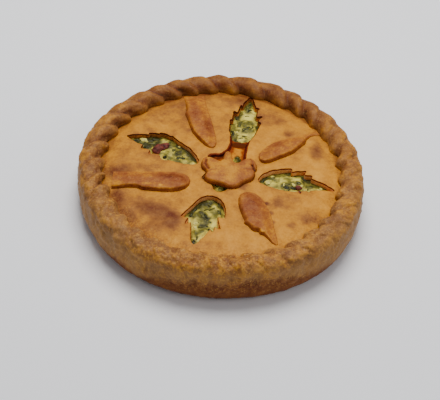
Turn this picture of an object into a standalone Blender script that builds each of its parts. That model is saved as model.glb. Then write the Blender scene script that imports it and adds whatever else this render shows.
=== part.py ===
"""Round savoury pie with a rope-crimped rim.

The lid has four leaf-shaped windows and a star-shaped one, through which the filling shows. Four pastry leaves
lie on the lid between the windows, and a pastry star lies over the star window, turned against it.

Metres, +Z up. The origin is the middle of the flat underside, and -Y is the front.
"""

import math
import random

import bmesh
import bpy
import numpy as np
from mathutils import Matrix

MM = 0.001

# The pie as a whole
PIE_RADIUS = 114 * MM  # the side wall at its widest
FOOT_RADIUS = 107.5 * MM  # the edge of the flat underside
BULGE_HEIGHT = 15 * MM  # where the side wall is widest
WALL_CURVE = 2.8  # how fast the foot rounds into the wall
# The pie isn't quite round: (waves round it, their height, azimuth of a crest in degrees)
UNEVENNESS = ((2, 0.5 * MM, -72), (3, 0.6 * MM, -48), (4, 0.6 * MM, -19), (5, 0.5 * MM, 20))
GAP = 0.4 * MM  # air between two pieces that touch in the real pie

# The rope rim: strands of pastry folded over one another all the way round
STRANDS = 34
ROPE_RADIUS = 103.2 * MM  # to the middle of the rope
ROPE_HEIGHT = 30.4 * MM  # to the middle of the rope
ROPE_OUTWARD = 8.8 * MM  # half widths of its section, from the middle out and in
ROPE_INWARD = 10.4 * MM
ROPE_UPWARD = 7.2 * MM
ROPE_STARTS = math.radians(-20)  # section angle where the rope leaves the wall: 0 faces out, 90 up, 180 in
ROPE_ENDS = math.radians(198)  # section angle where it meets the lid
FIRST_GROOVE = math.radians(88.5)  # azimuth of one groove at the rope's inner side
STRAND_SWEEP = 1.35  # strands that a groove passes on its way from the outside to the inside
STRAND_UNEVENNESS = 0.09  # how far a groove is out of its place, in strands
STRAND_SEED = 7
GROOVE_OUTSIDE = 0.14  # groove depth, as a share of the rope's section
GROOVE_INSIDE = 0.46
FRONT_GROOVES = 0.45  # the grooves at the front are this much as deep as those at the back
STEPS_PER_STRAND = 6
ROPE_SECTION_STEPS = 10

# The lid and the hollow under it, as (radius, height) from the rim inwards
LID_TOP = ((92.2 * MM, 29.6 * MM), (83 * MM, 31.2 * MM), (50 * MM, 32.0 * MM), (0.0, 32.4 * MM))
LID_THICKNESS = 4.6 * MM
BASE_THICKNESS = 5 * MM
HOLLOW_WALL = (
    (98 * MM, BASE_THICKNESS),
    (103.5 * MM, 8 * MM),
    (106.5 * MM, 15 * MM),
    (105 * MM, 20.5 * MM),
    (98.5 * MM, 24.6 * MM),
)
HOLLOW_STEPS = 68

# The leaf cutter: round at one end, three teeth on each side, pointed at the other end
LEAF_WIDEST = 0.44  # share of the length, from the round end
LEAF_TEETH = (0.46, 0.60, 0.73)
LEAF_NOTCH = 0.17  # depth behind a tooth, as a share of the half width
LEAF_TAPER = 1.25
LEAF_TIP = 0.7 * MM
TOOTH_STEP = 0.018  # length of the step behind a tooth, as a share of the leaf's length
ROUND_END_STEPS = 7

# Leaf windows, as round end x, y, direction of the tip in degrees, length, width, bow of the middle line
LEAF_WINDOWS = (
    (13.2 * MM, 26.5 * MM, 82.5, 66.5 * MM, 24.0 * MM, 1.8 * MM),
    (28.5 * MM, -11.5 * MM, -3.8, 60.5 * MM, 26.5 * MM, 3.0 * MM),
    (-5.5 * MM, -33.5 * MM, -103.7, 50.0 * MM, 29.5 * MM, 1.5 * MM),
    (-19.0 * MM, 7.5 * MM, 158.3, 63.6 * MM, 27.0 * MM, -3.0 * MM),
)
# Pastry leaves laid on the lid, in the same terms
PASTRY_LEAVES = (
    (-23.6 * MM, -18.8 * MM, 183.1, 60.5 * MM, 21.8 * MM, 0.2 * MM),
    (-9.0 * MM, 21.0 * MM, 105.4, 66.0 * MM, 20.2 * MM, 2.6 * MM),
    (29.0 * MM, 10.2 * MM, 38.7, 61.5 * MM, 22.5 * MM, 1.0 * MM),
    (17.2 * MM, -28.0 * MM, -62.0, 57.5 * MM, 23.5 * MM, -1.2 * MM),
)
# The least share of its width that each laid leaf keeps up to its outer end: two have baked to a blunt end
LEAF_ENDS = (0.81, 0.85, 0.0, 0.0)
LEAF_THICKNESS = 3.2 * MM

# The star cutter: six rounded points
STAR_POINTS = 6
STAR_CENTRE = (5.5 * MM, -5.6 * MM)
STAR_RADIUS = 22.5 * MM
STAR_WAIST = 13.5 * MM  # the window's radius between two points
STAR_WINDOW_TURN = 8  # degrees from +X to a point of the window
STAR_PIECE_TURN = 37  # degrees from +X to a point of the star laid over it
STAR_PIECE_RADIUS = 22.5 * MM
# The piece's radius between its points, anticlockwise from the first: it puffed up less at the back
STAR_PIECE_WAISTS = (12.0 * MM, 12.0 * MM, 15.5 * MM, 18.0 * MM, 18.0 * MM, 17.5 * MM)
STAR_THICKNESS = 3.8 * MM
STAR_STEPS = 60

# The strip of lid between the star window and the leaf window behind it, which has sunk
NECK_CENTRE = (13.0 * MM, 20.5 * MM)
NECK_LENGTH = 23 * MM
NECK_WIDTH = 15.5 * MM
NECK_DEPTH = 2.8 * MM
NECK_TURN = 83  # degrees from +X to its length
NECK_STEPS = 16

# Lumps of the filling that stand up in the windows
LUMPS_PER_WINDOW = 8
LUMP_RADIUS = (2.6 * MM, 5.0 * MM)
LUMP_RISE = (0.9 * MM, 1.9 * MM)
LUMP_CLEARANCE = 0.6 * MM
LUMP_SEED = 11

PASTRY = (0.53, 0.27, 0.09)
PASTRY_BROWNED = (0.43, 0.19, 0.06)
FILLING = (0.52, 0.50, 0.24)


def clear_scene():
    for obj in list(bpy.data.objects):
        bpy.data.objects.remove(obj, do_unlink=True)


def material(name, colour, roughness):
    made = bpy.data.materials.new(name)
    made.use_nodes = True
    shader = made.node_tree.nodes["Principled BSDF"]
    shader.inputs["Base Color"].default_value = (*colour, 1.0)
    shader.inputs["Roughness"].default_value = roughness
    shader.inputs["Metallic"].default_value = 0.0
    return made


def add_object(name, points, faces, finish=None):
    """An object from points and faces, its faces turned outwards, shaded smooth except at its sharp edges."""
    mesh = bpy.data.meshes.new(name)
    mesh.from_pydata([tuple(p) for p in points], [], faces)
    work = bmesh.new()
    work.from_mesh(mesh)
    bmesh.ops.recalc_face_normals(work, faces=work.faces)
    work.to_mesh(mesh)
    work.free()
    obj = bpy.data.objects.new(name, mesh)
    bpy.context.scene.collection.objects.link(obj)
    if finish:
        mesh.materials.append(finish)
        mesh.shade_smooth()
        mesh.set_sharp_from_angle(angle=math.radians(50))
    return obj


def lofted(name, rings, finish=None):
    """A closed solid from rings of equally many points: neighbours are joined, and the two end rings are capped.
    An end ring of one point becomes the apex of a fan."""
    points, starts = [], []
    for ring in rings:
        starts.append(len(points))
        points.extend(ring)
    faces = []
    for here, there, ring, after in zip(starts, starts[1:], rings, rings[1:]):
        count = max(len(ring), len(after))
        for k in range(count):
            following = (k + 1) % count
            if len(ring) == 1:
                faces.append((here, there + k, there + following))
            elif len(after) == 1:
                faces.append((here + k, here + following, there))
            else:
                faces.append((here + k, here + following, there + following, there + k))
    for start, ring in ((starts[0], rings[0]), (starts[-1], rings[-1])):
        if len(ring) > 1:
            faces.append(tuple(range(start, start + len(ring))))
    return add_object(name, points, faces, finish)


def prism(name, outline, low, high):
    """A cutter: a plan outline carried straight up."""
    cutter = lofted(name, [[(x, y, z) for x, y in outline] for z in (low, high)])
    cutter.hide_render = True
    cutter.display_type = "WIRE"
    return cutter


def boolean(target, operation, others, solver="EXACT"):
    """Applies one Boolean with a collection of objects, and removes them."""
    group = bpy.data.collections.new("operands")
    bpy.context.scene.collection.children.link(group)
    for other in others:
        group.objects.link(other)
    modifier = target.modifiers.new(operation, "BOOLEAN")
    modifier.operation = operation
    modifier.operand_type = "COLLECTION"
    modifier.collection = group
    modifier.solver = solver
    bpy.context.view_layer.update()
    graph = bpy.context.evaluated_depsgraph_get()
    result = bpy.data.meshes.new_from_object(target.evaluated_get(graph))
    target.modifiers.remove(modifier)
    target.data = result
    for other in others:
        bpy.data.objects.remove(other, do_unlink=True)
    bpy.data.collections.remove(group)


def lid_height(x, y):
    """Height of the lid's top at a place in plan."""
    radii, heights = zip(*reversed(LID_TOP))
    return float(np.interp(math.hypot(x, y), radii, heights))


# The crust


def out_of_round(azimuth):
    """The pie's radius at an azimuth, as a share of its mean radius."""
    waves = [height * math.cos(count * (azimuth - math.radians(crest))) for count, height, crest in UNEVENNESS]
    return 1 + sum(waves) / PIE_RADIUS


def strands():
    """(first groove, second groove, fullness) of each strand, the grooves counted in strands round the pie."""
    draw = random.Random(STRAND_SEED)
    grooves = [strand + draw.uniform(-1, 1) * STRAND_UNEVENNESS for strand in range(STRANDS)]
    return [
        (groove, following, draw.uniform(0.86, 1.0))
        for groove, following in zip(grooves, [*grooves[1:], grooves[0] + STRANDS])
    ]


def groove_share(azimuth):
    """Groove depth round the pie: full at the back, shallower at the front."""
    return FRONT_GROOVES + (1 - FRONT_GROOVES) * (0.5 + 0.5 * math.sin(azimuth)) ** 0.6


def inward(section):
    """0 on the rope's outer side, 1 on its inner side, and changing fastest over its top."""
    return 0.5 - 0.5 * math.cos(min(max(section, 0.0), math.pi))


def slant(section):
    """How far round the pie a groove still has to go to its inner end, in strands."""
    return STRAND_SWEEP * (1 - inward(section))


def rope_ring(section, along_rope):
    """One turn of points along the rope, at one angle of its section. The points follow the grooves, so that
    each strand starts and ends on one. Across a strand, the section swells as a half circle does."""
    full_depth = GROOVE_OUTSIDE + (GROOVE_INSIDE - GROOVE_OUTSIDE) * inward(section)
    half_width = ROPE_OUTWARD if section < math.pi / 2 else ROPE_INWARD
    ring = []
    for groove, following, fullness in along_rope:
        for step in range(STEPS_PER_STRAND):
            across = step / STEPS_PER_STRAND
            turns = (groove + across * (following - groove) + slant(section)) / STRANDS
            azimuth = FIRST_GROOVE + 2 * math.pi * turns
            swell = math.sqrt(1 - abs(2 * across - 1) ** 2.4) * fullness
            scale = 1 - full_depth * groove_share(azimuth) * (1 - swell)
            radius = (ROPE_RADIUS + half_width * scale * math.cos(section)) * out_of_round(azimuth)
            height = ROPE_HEIGHT + ROPE_UPWARD * scale * math.sin(section)
            ring.append((radius * math.cos(azimuth), radius * math.sin(azimuth), height))
    return ring


def plain_ring(radius, height, count, turn=0.0, shape=lambda azimuth: 1.0):
    """Evenly spaced points at one radius and height. shape scales the radius at each azimuth."""
    azimuths = [turn + 2 * math.pi * k / count for k in range(count)]
    return [(radius * shape(a) * math.cos(a), radius * shape(a) * math.sin(a), height) for a in azimuths]


def wall_radius(height):
    """The side wall rounds out from the foot to the bulge."""
    rest = max(0.0, 1 - height / BULGE_HEIGHT)
    return PIE_RADIUS - (PIE_RADIUS - FOOT_RADIUS) * rest**WALL_CURVE


def crust_body():
    """The crust before it is hollowed: foot, wall, rope and lid in one closed loft."""
    along_rope = strands()
    count = STRANDS * STEPS_PER_STRAND
    wall_turn = FIRST_GROOVE + 2 * math.pi * slant(ROPE_STARTS) / STRANDS
    lid_turn = FIRST_GROOVE + 2 * math.pi * slant(ROPE_ENDS) / STRANDS
    wall_heights = [share * BULGE_HEIGHT for share in (0.0, 0.15, 0.5, 1.0, 1.4)]
    rings = [plain_ring(wall_radius(z), z, count, wall_turn, out_of_round) for z in wall_heights]
    for section in np.linspace(ROPE_STARTS, ROPE_ENDS, ROPE_SECTION_STEPS + 1):
        rings.append(rope_ring(section, along_rope))
    rings += [plain_ring(radius, height, count, lid_turn) for radius, height in LID_TOP[:-1]]
    rings.append([(0.0, 0.0, LID_TOP[-1][1])])
    return lofted("pastry_crust", rings, material("baked_pastry", PASTRY, 0.55))


def hollow_profile(inset):
    """(radius, height) of the hollow under the lid, from the base up, taken in by inset on every side."""
    middle = (BASE_THICKNESS + LID_TOP[0][1] - LID_THICKNESS) / 2
    lid_underside = [(radius - 4 * MM, height - LID_THICKNESS) for radius, height in LID_TOP[:-1]]
    profile = [*HOLLOW_WALL, *lid_underside[1:], (0.0, LID_TOP[-1][1] - LID_THICKNESS)]
    return [
        (max(0.0, radius - inset), height + (inset if height < middle else -inset))
        for radius, height in profile
    ]


def hollow(name, inset, finish=None):
    rings = [plain_ring(radius, height, HOLLOW_STEPS) for radius, height in hollow_profile(inset)[:-1]]
    rings.append([(0.0, 0.0, hollow_profile(inset)[-1][1])])
    return lofted(name, rings, finish)


# Leaves


def leaf_stations(length, width):
    """(distance along, half width) from the round end to the tip. The round end is a quarter ellipse. Past the
    widest place the width falls away to the tip, with a step back behind each tooth."""
    half = width / 2
    stations = []
    for step in range(1, ROUND_END_STEPS + 1):
        angle = math.pi / 2 * step / ROUND_END_STEPS
        stations.append((LEAF_WIDEST * length * (1 - math.cos(angle)), half * math.sin(angle)))
    for tooth in LEAF_TEETH:
        past = (tooth - LEAF_WIDEST) / (1 - LEAF_WIDEST)
        reach = half * (1 - past**LEAF_TAPER)
        stations.append((tooth * length, reach))
        stations.append(((tooth + TOOTH_STEP) * length, reach - LEAF_NOTCH * half))
    stations.append((0.9 * length, 0.14 * half))
    stations.append((length, LEAF_TIP))
    return stations


def leaf_place(leaf):
    """Returns a function from (along, aside) on a leaf to a place in plan."""
    x, y, direction, length, _, bow = leaf
    turn = math.radians(direction)

    def place(along, aside):
        share = along / length
        aside = aside + 4 * bow * share * (1 - share)
        return (
            x + along * math.cos(turn) - aside * math.sin(turn),
            y + along * math.sin(turn) + aside * math.cos(turn),
        )

    return place


def leaf_outline(leaf):
    place = leaf_place(leaf)
    stations = leaf_stations(leaf[3], leaf[4])
    left = [place(along, half) for along, half in stations]
    right = [place(along, -half) for along, half in reversed(stations)]
    return [place(0.0, 0.0), *left, *right]


def pastry_leaf(number, leaf, finish):
    """A leaf of pastry lying on the lid, as a loft of sections across it. Each section is flat below, rounded at
    its sides and crowned along the middle."""
    place = leaf_place(leaf)
    section = (
        (-0.96, 0.0),
        (-1.0, 0.4),
        (-0.8, 0.88),
        (0.0, 1.0),
        (0.8, 0.88),
        (1.0, 0.4),
        (0.96, 0.0),
    )
    rings = []
    least = LEAF_ENDS[number - 1] * leaf[4] / 2
    stations = [(0.4 * MM, 3 * MM)]
    for along, half in leaf_stations(leaf[3], leaf[4])[1:]:
        past_widest = along > LEAF_WIDEST * leaf[3]
        stations.append((along, max(half, least) if past_widest else half))
    for number_along, (along, half) in enumerate(stations):
        ends = number_along in (0, len(stations) - 1)
        thickness = LEAF_THICKNESS * (0.6 if ends else 1.0)
        ring = []
        for aside, rise in section:
            x, y = place(along, aside * half)
            ring.append((x, y, lid_height(x, y) + GAP + rise * thickness))
        rings.append(ring)
    return lofted(f"pastry_leaf_{number}", rings, finish)


# The star


def star_outline(radius, waists, turn):
    """A star with rounded points. Between two points the radius dips to that gap's waist, as a raised cosine."""
    outline = []
    for step in range(STAR_STEPS):
        angle = 2 * math.pi * step / STAR_STEPS
        gap = int(angle / (2 * math.pi) * STAR_POINTS) % STAR_POINTS
        dip = (0.5 - 0.5 * math.cos(STAR_POINTS * angle)) ** 0.8
        reach = radius - (radius - waists[gap]) * dip
        azimuth = angle + math.radians(turn)
        outline.append((reach * math.cos(azimuth), reach * math.sin(azimuth)))
    return outline


def star_window_outline():
    outline = star_outline(STAR_RADIUS, [STAR_WAIST] * STAR_POINTS, STAR_WINDOW_TURN)
    return [(x + STAR_CENTRE[0], y + STAR_CENTRE[1]) for x, y in outline]


def pastry_star(finish):
    """The star lies on the lid between the points of the star window. Its section is as the leaves' is."""
    outline = star_outline(STAR_PIECE_RADIUS, STAR_PIECE_WAISTS, STAR_PIECE_TURN)
    layers = ((0.97, 0.0), (1.0, 0.4), (0.92, 0.88), (0.5, 1.0))
    rings = []
    for spread, rise in layers:
        ring = []
        for x, y in outline:
            x, y = STAR_CENTRE[0] + x * spread, STAR_CENTRE[1] + y * spread
            ring.append((x, y, lid_height(x, y) + GAP + rise * STAR_THICKNESS))
        rings.append(ring)
    return lofted("pastry_star", rings, finish)


def neck_outline():
    turn = math.radians(NECK_TURN)
    outline = []
    for step in range(NECK_STEPS):
        angle = 2 * math.pi * step / NECK_STEPS
        along, aside = NECK_LENGTH / 2 * math.cos(angle), NECK_WIDTH / 2 * math.sin(angle)
        outline.append(
            (
                NECK_CENTRE[0] + along * math.cos(turn) - aside * math.sin(turn),
                NECK_CENTRE[1] + along * math.sin(turn) + aside * math.cos(turn),
            )
        )
    return outline


# The filling


def inside_by(outline, x, y):
    """How far a place lies inside an outline, negative outside it."""
    ends = np.array(outline)
    steps = np.roll(ends, -1, axis=0) - ends
    share = ((np.array([x, y]) - ends) * steps).sum(1) / (steps**2).sum(1)
    nearest = ends + np.clip(share, 0, 1)[:, None] * steps
    distance = np.hypot(nearest[:, 0] - x, nearest[:, 1] - y).min()
    following = ends + steps
    straddles = (ends[:, 1] > y) != (following[:, 1] > y)
    rise = np.where(straddles, steps[:, 1], 1.0)
    crossing = ends[:, 0] + (y - ends[:, 1]) / rise * steps[:, 0]
    inside = (straddles & (crossing > x)).sum() % 2 == 1
    return distance if inside else -distance


def lump(x, y, radius, rise, top, turn):
    """A flattened ball of filling, sunk to its middle in the filling's top."""
    work = bmesh.new()
    bmesh.ops.create_icosphere(work, subdivisions=1, radius=1.0)
    points = []
    for vertex in work.verts:
        u, v, w = vertex.co
        along, aside = u * radius, v * radius * 0.8
        points.append(
            (
                x + along * math.cos(turn) - aside * math.sin(turn),
                y + along * math.sin(turn) + aside * math.cos(turn),
                top + w * rise,
            )
        )
    faces = [tuple(vertex.index for vertex in face.verts) for face in work.faces]
    work.free()
    return add_object("lump", points, faces)


def filling_lumps():
    """Lumps drawn at random inside each window, clear of its edge and not in one another's middle."""
    draw = random.Random(LUMP_SEED)
    radii, heights = zip(*reversed(hollow_profile(GAP)[len(HOLLOW_WALL):]))
    lumps = []
    for window in LEAF_WINDOWS:
        outline = leaf_outline(window)
        place = leaf_place(window)
        kept = []
        for _ in range(400):
            x, y = place(draw.uniform(0, window[3]), draw.uniform(-0.5, 0.5) * window[4])
            radius = draw.uniform(*LUMP_RADIUS)
            apart = all(math.hypot(x - a, y - b) > 0.7 * (radius + c) for a, b, c in kept)
            in_neck = inside_by(neck_outline(), x, y) > -radius - LUMP_CLEARANCE
            if apart and not in_neck and inside_by(outline, x, y) > radius + LUMP_CLEARANCE:
                kept.append((x, y, radius))
            if len(kept) == LUMPS_PER_WINDOW:
                break
        for x, y, radius in kept:
            top = float(np.interp(math.hypot(x, y), radii, heights))
            lumps.append(lump(x, y, radius, draw.uniform(*LUMP_RISE), top, draw.uniform(0, math.pi)))
    return lumps


# The whole pie


def make_crust():
    crust = crust_body()
    low, high = LID_TOP[0][1] - 2 * LID_THICKNESS, LID_TOP[0][1] + 3 * LID_THICKNESS
    boolean(crust, "DIFFERENCE", [hollow("hollow", 0.0)])
    star_window = prism("star_window", star_window_outline(), low, high)
    boolean(crust, "DIFFERENCE", [star_window])
    for window in LEAF_WINDOWS:
        boolean(crust, "DIFFERENCE", [prism("leaf_window", leaf_outline(window), low, high)])
    neck_floor = lid_height(*NECK_CENTRE) - NECK_DEPTH
    boolean(crust, "DIFFERENCE", [prism("neck", neck_outline(), neck_floor, high)])


def make_filling():
    filling = hollow("filling", GAP, material("creamed_filling", FILLING, 0.5))
    boolean(filling, "UNION", filling_lumps())


def centre_on_origin():
    """Moves the whole pie so that the box round it is centred on the origin in plan."""
    shapes = [obj.data for obj in bpy.context.scene.collection.objects if obj.type == "MESH"]
    points = np.array([vertex.co for mesh in shapes for vertex in mesh.vertices])
    middle = (points.min(axis=0) + points.max(axis=0)) / 2
    for mesh in shapes:
        mesh.transform(Matrix.Translation((-middle[0], -middle[1], 0.0)))


def main():
    clear_scene()
    make_crust()
    make_filling()
    browned = material("browned_pastry", PASTRY_BROWNED, 0.5)
    for number, leaf in enumerate(PASTRY_LEAVES, start=1):
        pastry_leaf(number, leaf, browned)
    pastry_star(browned)
    centre_on_origin()


main()
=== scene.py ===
"""A round savoury pie: rope-crimped shortcrust with leaf windows onto creamed chicken and spinach.

Lengths are in metres, +Z is up, -Y is the front. The shapes repeat the named sizes of the part's solids and
add the relief, browned colour with painted shade and highlights, and the filling that the solids leave out.
"""

import math
import random

import bmesh
import bpy
import numpy as np
from bpy.props import FloatProperty, FloatVectorProperty, IntProperty, PointerProperty
from mathutils import Matrix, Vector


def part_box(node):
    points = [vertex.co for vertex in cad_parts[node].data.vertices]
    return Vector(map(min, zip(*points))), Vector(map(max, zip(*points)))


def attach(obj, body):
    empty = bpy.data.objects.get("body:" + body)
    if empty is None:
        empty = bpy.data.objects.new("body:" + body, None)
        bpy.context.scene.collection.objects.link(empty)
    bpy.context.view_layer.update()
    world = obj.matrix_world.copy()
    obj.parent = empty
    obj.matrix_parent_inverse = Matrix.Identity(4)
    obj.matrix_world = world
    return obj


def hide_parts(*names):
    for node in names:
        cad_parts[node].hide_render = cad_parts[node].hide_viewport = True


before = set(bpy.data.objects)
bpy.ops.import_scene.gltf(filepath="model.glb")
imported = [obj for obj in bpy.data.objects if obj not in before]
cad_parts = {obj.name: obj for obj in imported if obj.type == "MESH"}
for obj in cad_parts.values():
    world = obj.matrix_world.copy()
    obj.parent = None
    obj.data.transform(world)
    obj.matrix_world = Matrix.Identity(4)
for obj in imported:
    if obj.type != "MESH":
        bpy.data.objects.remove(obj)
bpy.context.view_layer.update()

bl_info = {
    "name": "Rope-crimped savoury pie",
    "version": (1, 0, 0),
    "blender": (4, 5, 0),
    "location": "3D View > Sidebar > Savoury pie",
    "description": "Builds a round pie with leaf windows, laid pastry leaves and a creamed filling",
    "category": "Add Mesh",
}

MM = 0.001


def pairs(*numbers):
    """Corners of an outline from the x and y of each in turn."""
    return tuple(zip(numbers[::2], numbers[1::2]))


# The solids are centred by their box, so the pie's own axis stands a little off the origin
FILLING_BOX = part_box("filling")
AXIS_X = (FILLING_BOX[0].x + FILLING_BOX[1].x) / 2
AXIS_Y = (FILLING_BOX[0].y + FILLING_BOX[1].y) / 2

# Side wall and foot
PIE_RADIUS = 114 * MM
FOOT_RADIUS = 107.5 * MM
BULGE_HEIGHT = 15 * MM
BULGE_TOP = 19 * MM
WALL_CURVE = 2.8
WALL_RISE = 1.35
DRAWN_IN_CURVE = 1.5
# How far the pie is out of round: waves in a turn, height of the waves, azimuth of a crest
UNEVENNESS = ((2, 0.5 * MM, -72), (3, 0.6 * MM, -48), (4, 0.6 * MM, -19), (5, 0.5 * MM, 20))
WALL_ROWS = 26
BASE_SHARES = (0.985, 0.93, 0.8, 0.5, 0.2)
# Radius and height down the hidden inner wall and over the base, in millimetres
INNER_WALL = pairs(98.5, 24.2, 104.6, 20.5, 106, 15, 103, 8.3, 97.5, 5.2, 60, 5, 20, 5)

# Rope rim
STRANDS = 34
STEPS_PER_STRAND = 24
ROPE_ROWS = 46
ROPE_RADIUS = 103.2 * MM
ROPE_HEIGHT = 30.4 * MM
ROPE_OUTWARD = 10.0 * MM
ROPE_INWARD = 10.4 * MM
ROPE_UPWARD = 7.2 * MM
ROPE_STARTS = 0
ROPE_ENDS = 236
# Azimuths of the grooves at the back and sides, on the rope's inner side. Those at the front stand evenly.
SEEN_GROOVES = (
    *(27.5, 38.5, 48.5, 58.5, 71.5, 85.0, 95.5, 105.7, 115.0),
    *(124.5, 135.0, 146.3, 156.7, 168.7, 180.0, 190.2, 198.2),
)
MEASURED_SECTION = 130
STRAND_SWEEP = 0.8
STRAND_LEAN = 0.55
STRAND_SEED = 7
# Groove depth by the angle of the rope's section, as a share of its half width
GROOVE_ANGLES = (0, 20, 50, 90, 125, 165, 236)
GROOVE_DEPTHS = (0.05, 0.22, 0.40, 0.32, 0.46, 0.50, 0.32)
# How much of that depth is left round the pie: the front has puffed up and closed its grooves
SHARE_AZIMUTHS = (-140, -90, -40, 0, 30, 60, 90, 165, 195, 212)
GROOVE_SHARES = (0.3, 0.26, 0.34, 0.5, 0.76, 0.92, 1.0, 1.0, 0.95, 0.45)

# Lid
LID_CENTRE = 32.4 * MM
LID_CROWN = 1.15 * MM
LID_SHOULDER = 83 * MM
LID_FALL = 1.35 * MM
LID_FALL_WIDTH = 9.2 * MM
LID_EDGE = 98.3 * MM
LID_THICKNESS = 4.6 * MM
LID_CELLS = 256
# Rings of its plain underside, as shares of its edge
LID_RINGS = (1, 0.93, 0.82, 0.5, 0.2, 0)
LID_SHARP_ANGLE = 42

# Height to which the wall's foot is painted darker, in millimetres, at azimuths in degrees
FOOT_AZIMUTHS = (-170, -140, -130, -120, -105, -90, -75, -60, -46, -30, 0, 90)
FOOT_TOPS = (3, 7, 14, 10, 19, 24, 24, 20, 11, 4, 3, 9)

# Outlines of the windows cut through the lid, x and y in millimetres
WINDOW_OUTLINES = {
    "top": pairs(
        7.4, 34.8, 6.2, 38, 5.2, 42, 4.7, 48, 4.6, 53, 4.8, 58.6, 6.6, 57.6, 6.8, 62.5, 7.3, 70,
        9.6, 67.6, 10.8, 69.5, 12.2, 75, 12.6, 79, 14.2, 76.6, 15.4, 81, 18, 87.2, 20, 91.6, 21, 91.6,
        21.8, 88, 23.2, 82, 24.4, 76.6, 27.6, 75.6, 25.6, 72.6, 25.4, 67, 25.8, 64.2, 30.4, 65.6,
        27.6, 61.8, 27, 58.8, 29.4, 57.4, 27.6, 53, 25.9, 47, 23.9, 41, 21.8, 37, 19.6, 34.8, 16.5, 33.6,
        12.6, 33.2, 9, 33.6,
    ),
    "right": pairs(
        29.2, -11, 30.6, -7.4, 33.5, -4, 37.5, -1.2, 42, 0.9, 47, 2.4, 51, 3.2, 55.2, 4.2, 55, -0.2,
        60, 1.6, 66.4, 2.6, 65.2, -2.6, 71.2, -2.2, 70.6, -5.4, 75, -7.4, 80, -9.6, 85, -12.6, 89, -15.4,
        87, -16.2, 80, -16.6, 74, -17.4, 69.6, -18.6, 69, -20.4, 67.4, -19, 63, -19.8, 62.2, -23,
        60.4, -20.6, 56, -21.2, 50, -20.6, 44, -19.2, 38, -17.6, 33, -15.6, 30, -13.4,
    ),
    "bottom": pairs(
        -28.4, -56, -26.2, -52.4, -23, -47.6, -19.6, -42.4, -16.4, -37.8, -13, -34.6, -9.6, -32.9,
        -6, -32.8, -2.6, -34, 0.6, -36.8, 2.9, -40.8, 4.2, -45.6, 4.8, -50.4, 4.4, -55.2, -0.6, -54.6,
        -0.3, -59, 0.9, -63.4, 1.6, -66.4, -2.8, -64.2, -3.9, -69.6, -5.6, -66.6, -8, -70.6, -11, -75.6,
        -14, -80, -16.6, -83, -18.6, -81.4, -19.6, -76, -20, -69, -20.4, -61, -24.8, -63.6, -22.6, -57,
    ),
    "left": pairs(
        -78.6, 31.6, -74, 33.2, -68, 33.6, -61, 33.9, -60.6, 36, -56, 35.6, -52.4, 35.2, -51.6, 36.8,
        -47, 35, -43, 32.6, -42.2, 33.2, -38, 28.8, -33, 24.8, -28, 20.6, -23.8, 15.6, -20.8, 10.6,
        -19.2, 6, -20, 2.8, -24, 1.5, -30, 1.8, -36, 2.9, -42, 4.6, -47.4, 5.2, -49.4, 8, -50.4, 11,
        -55, 11.6, -59, 11.2, -58, 15.4, -60.4, 16.8, -65.4, 17, -64.4, 21.6, -69, 23.4, -74, 26.8,
    ),
    "star": pairs(
        5, 4, 9, 5, 8.6, 12, 9.4, 15.8, 11.6, 17.4, 13.9, 16.2, 15, 12, 14.6, 5, 18, 2, 20, -3, 18, -12,
        14, -17, 8, -20, 5.4, -22.6, 3.6, -25.6, 0.6, -27.4, -2.6, -27.4, -5, -25, -6.6, -21, -9, -16.5,
        -12.4, -15.6, -14.8, -14.6, -15, -12.4, -13.6, -10.4, -11, -7, -9, -1, -5, 1, 0, 3,
    ),
}
# The sunken strip between the star window and the window behind it
STRIP_OUTLINE = pairs(
    6.2, 38, 6.2, 31, 5.8, 26, 4.4, 21.8, 1.9, 18.2, -1, 15.2, -4.4, 14.4, -8, 14.6, -11.2, 12.4, -9, 7.4,
    -3, 3, 4, 2, 10, 3, 14.8, 6, 17.2, 11, 17.9, 18, 18.2, 25, 19.4, 31, 21.2, 37.4, 12, 39,
)
STRIP_DEPTH = 2.4 * MM
# The small hollow in which it ends behind: place, half widths and extra depth
HOLLOW_CENTRE = (12.8 * MM, 29.9 * MM)
HOLLOW_REACH = (5.2 * MM, 3.4 * MM)
HOLLOW_DEPTH = 0.9 * MM
# Spacing of points along a cut edge, and how much wider than the others two openings flare at the skin
CUT_SPACING = 0.45 * MM
BACK_FLARE = 1.5
STRIP_FLARE = 2.2

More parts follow.
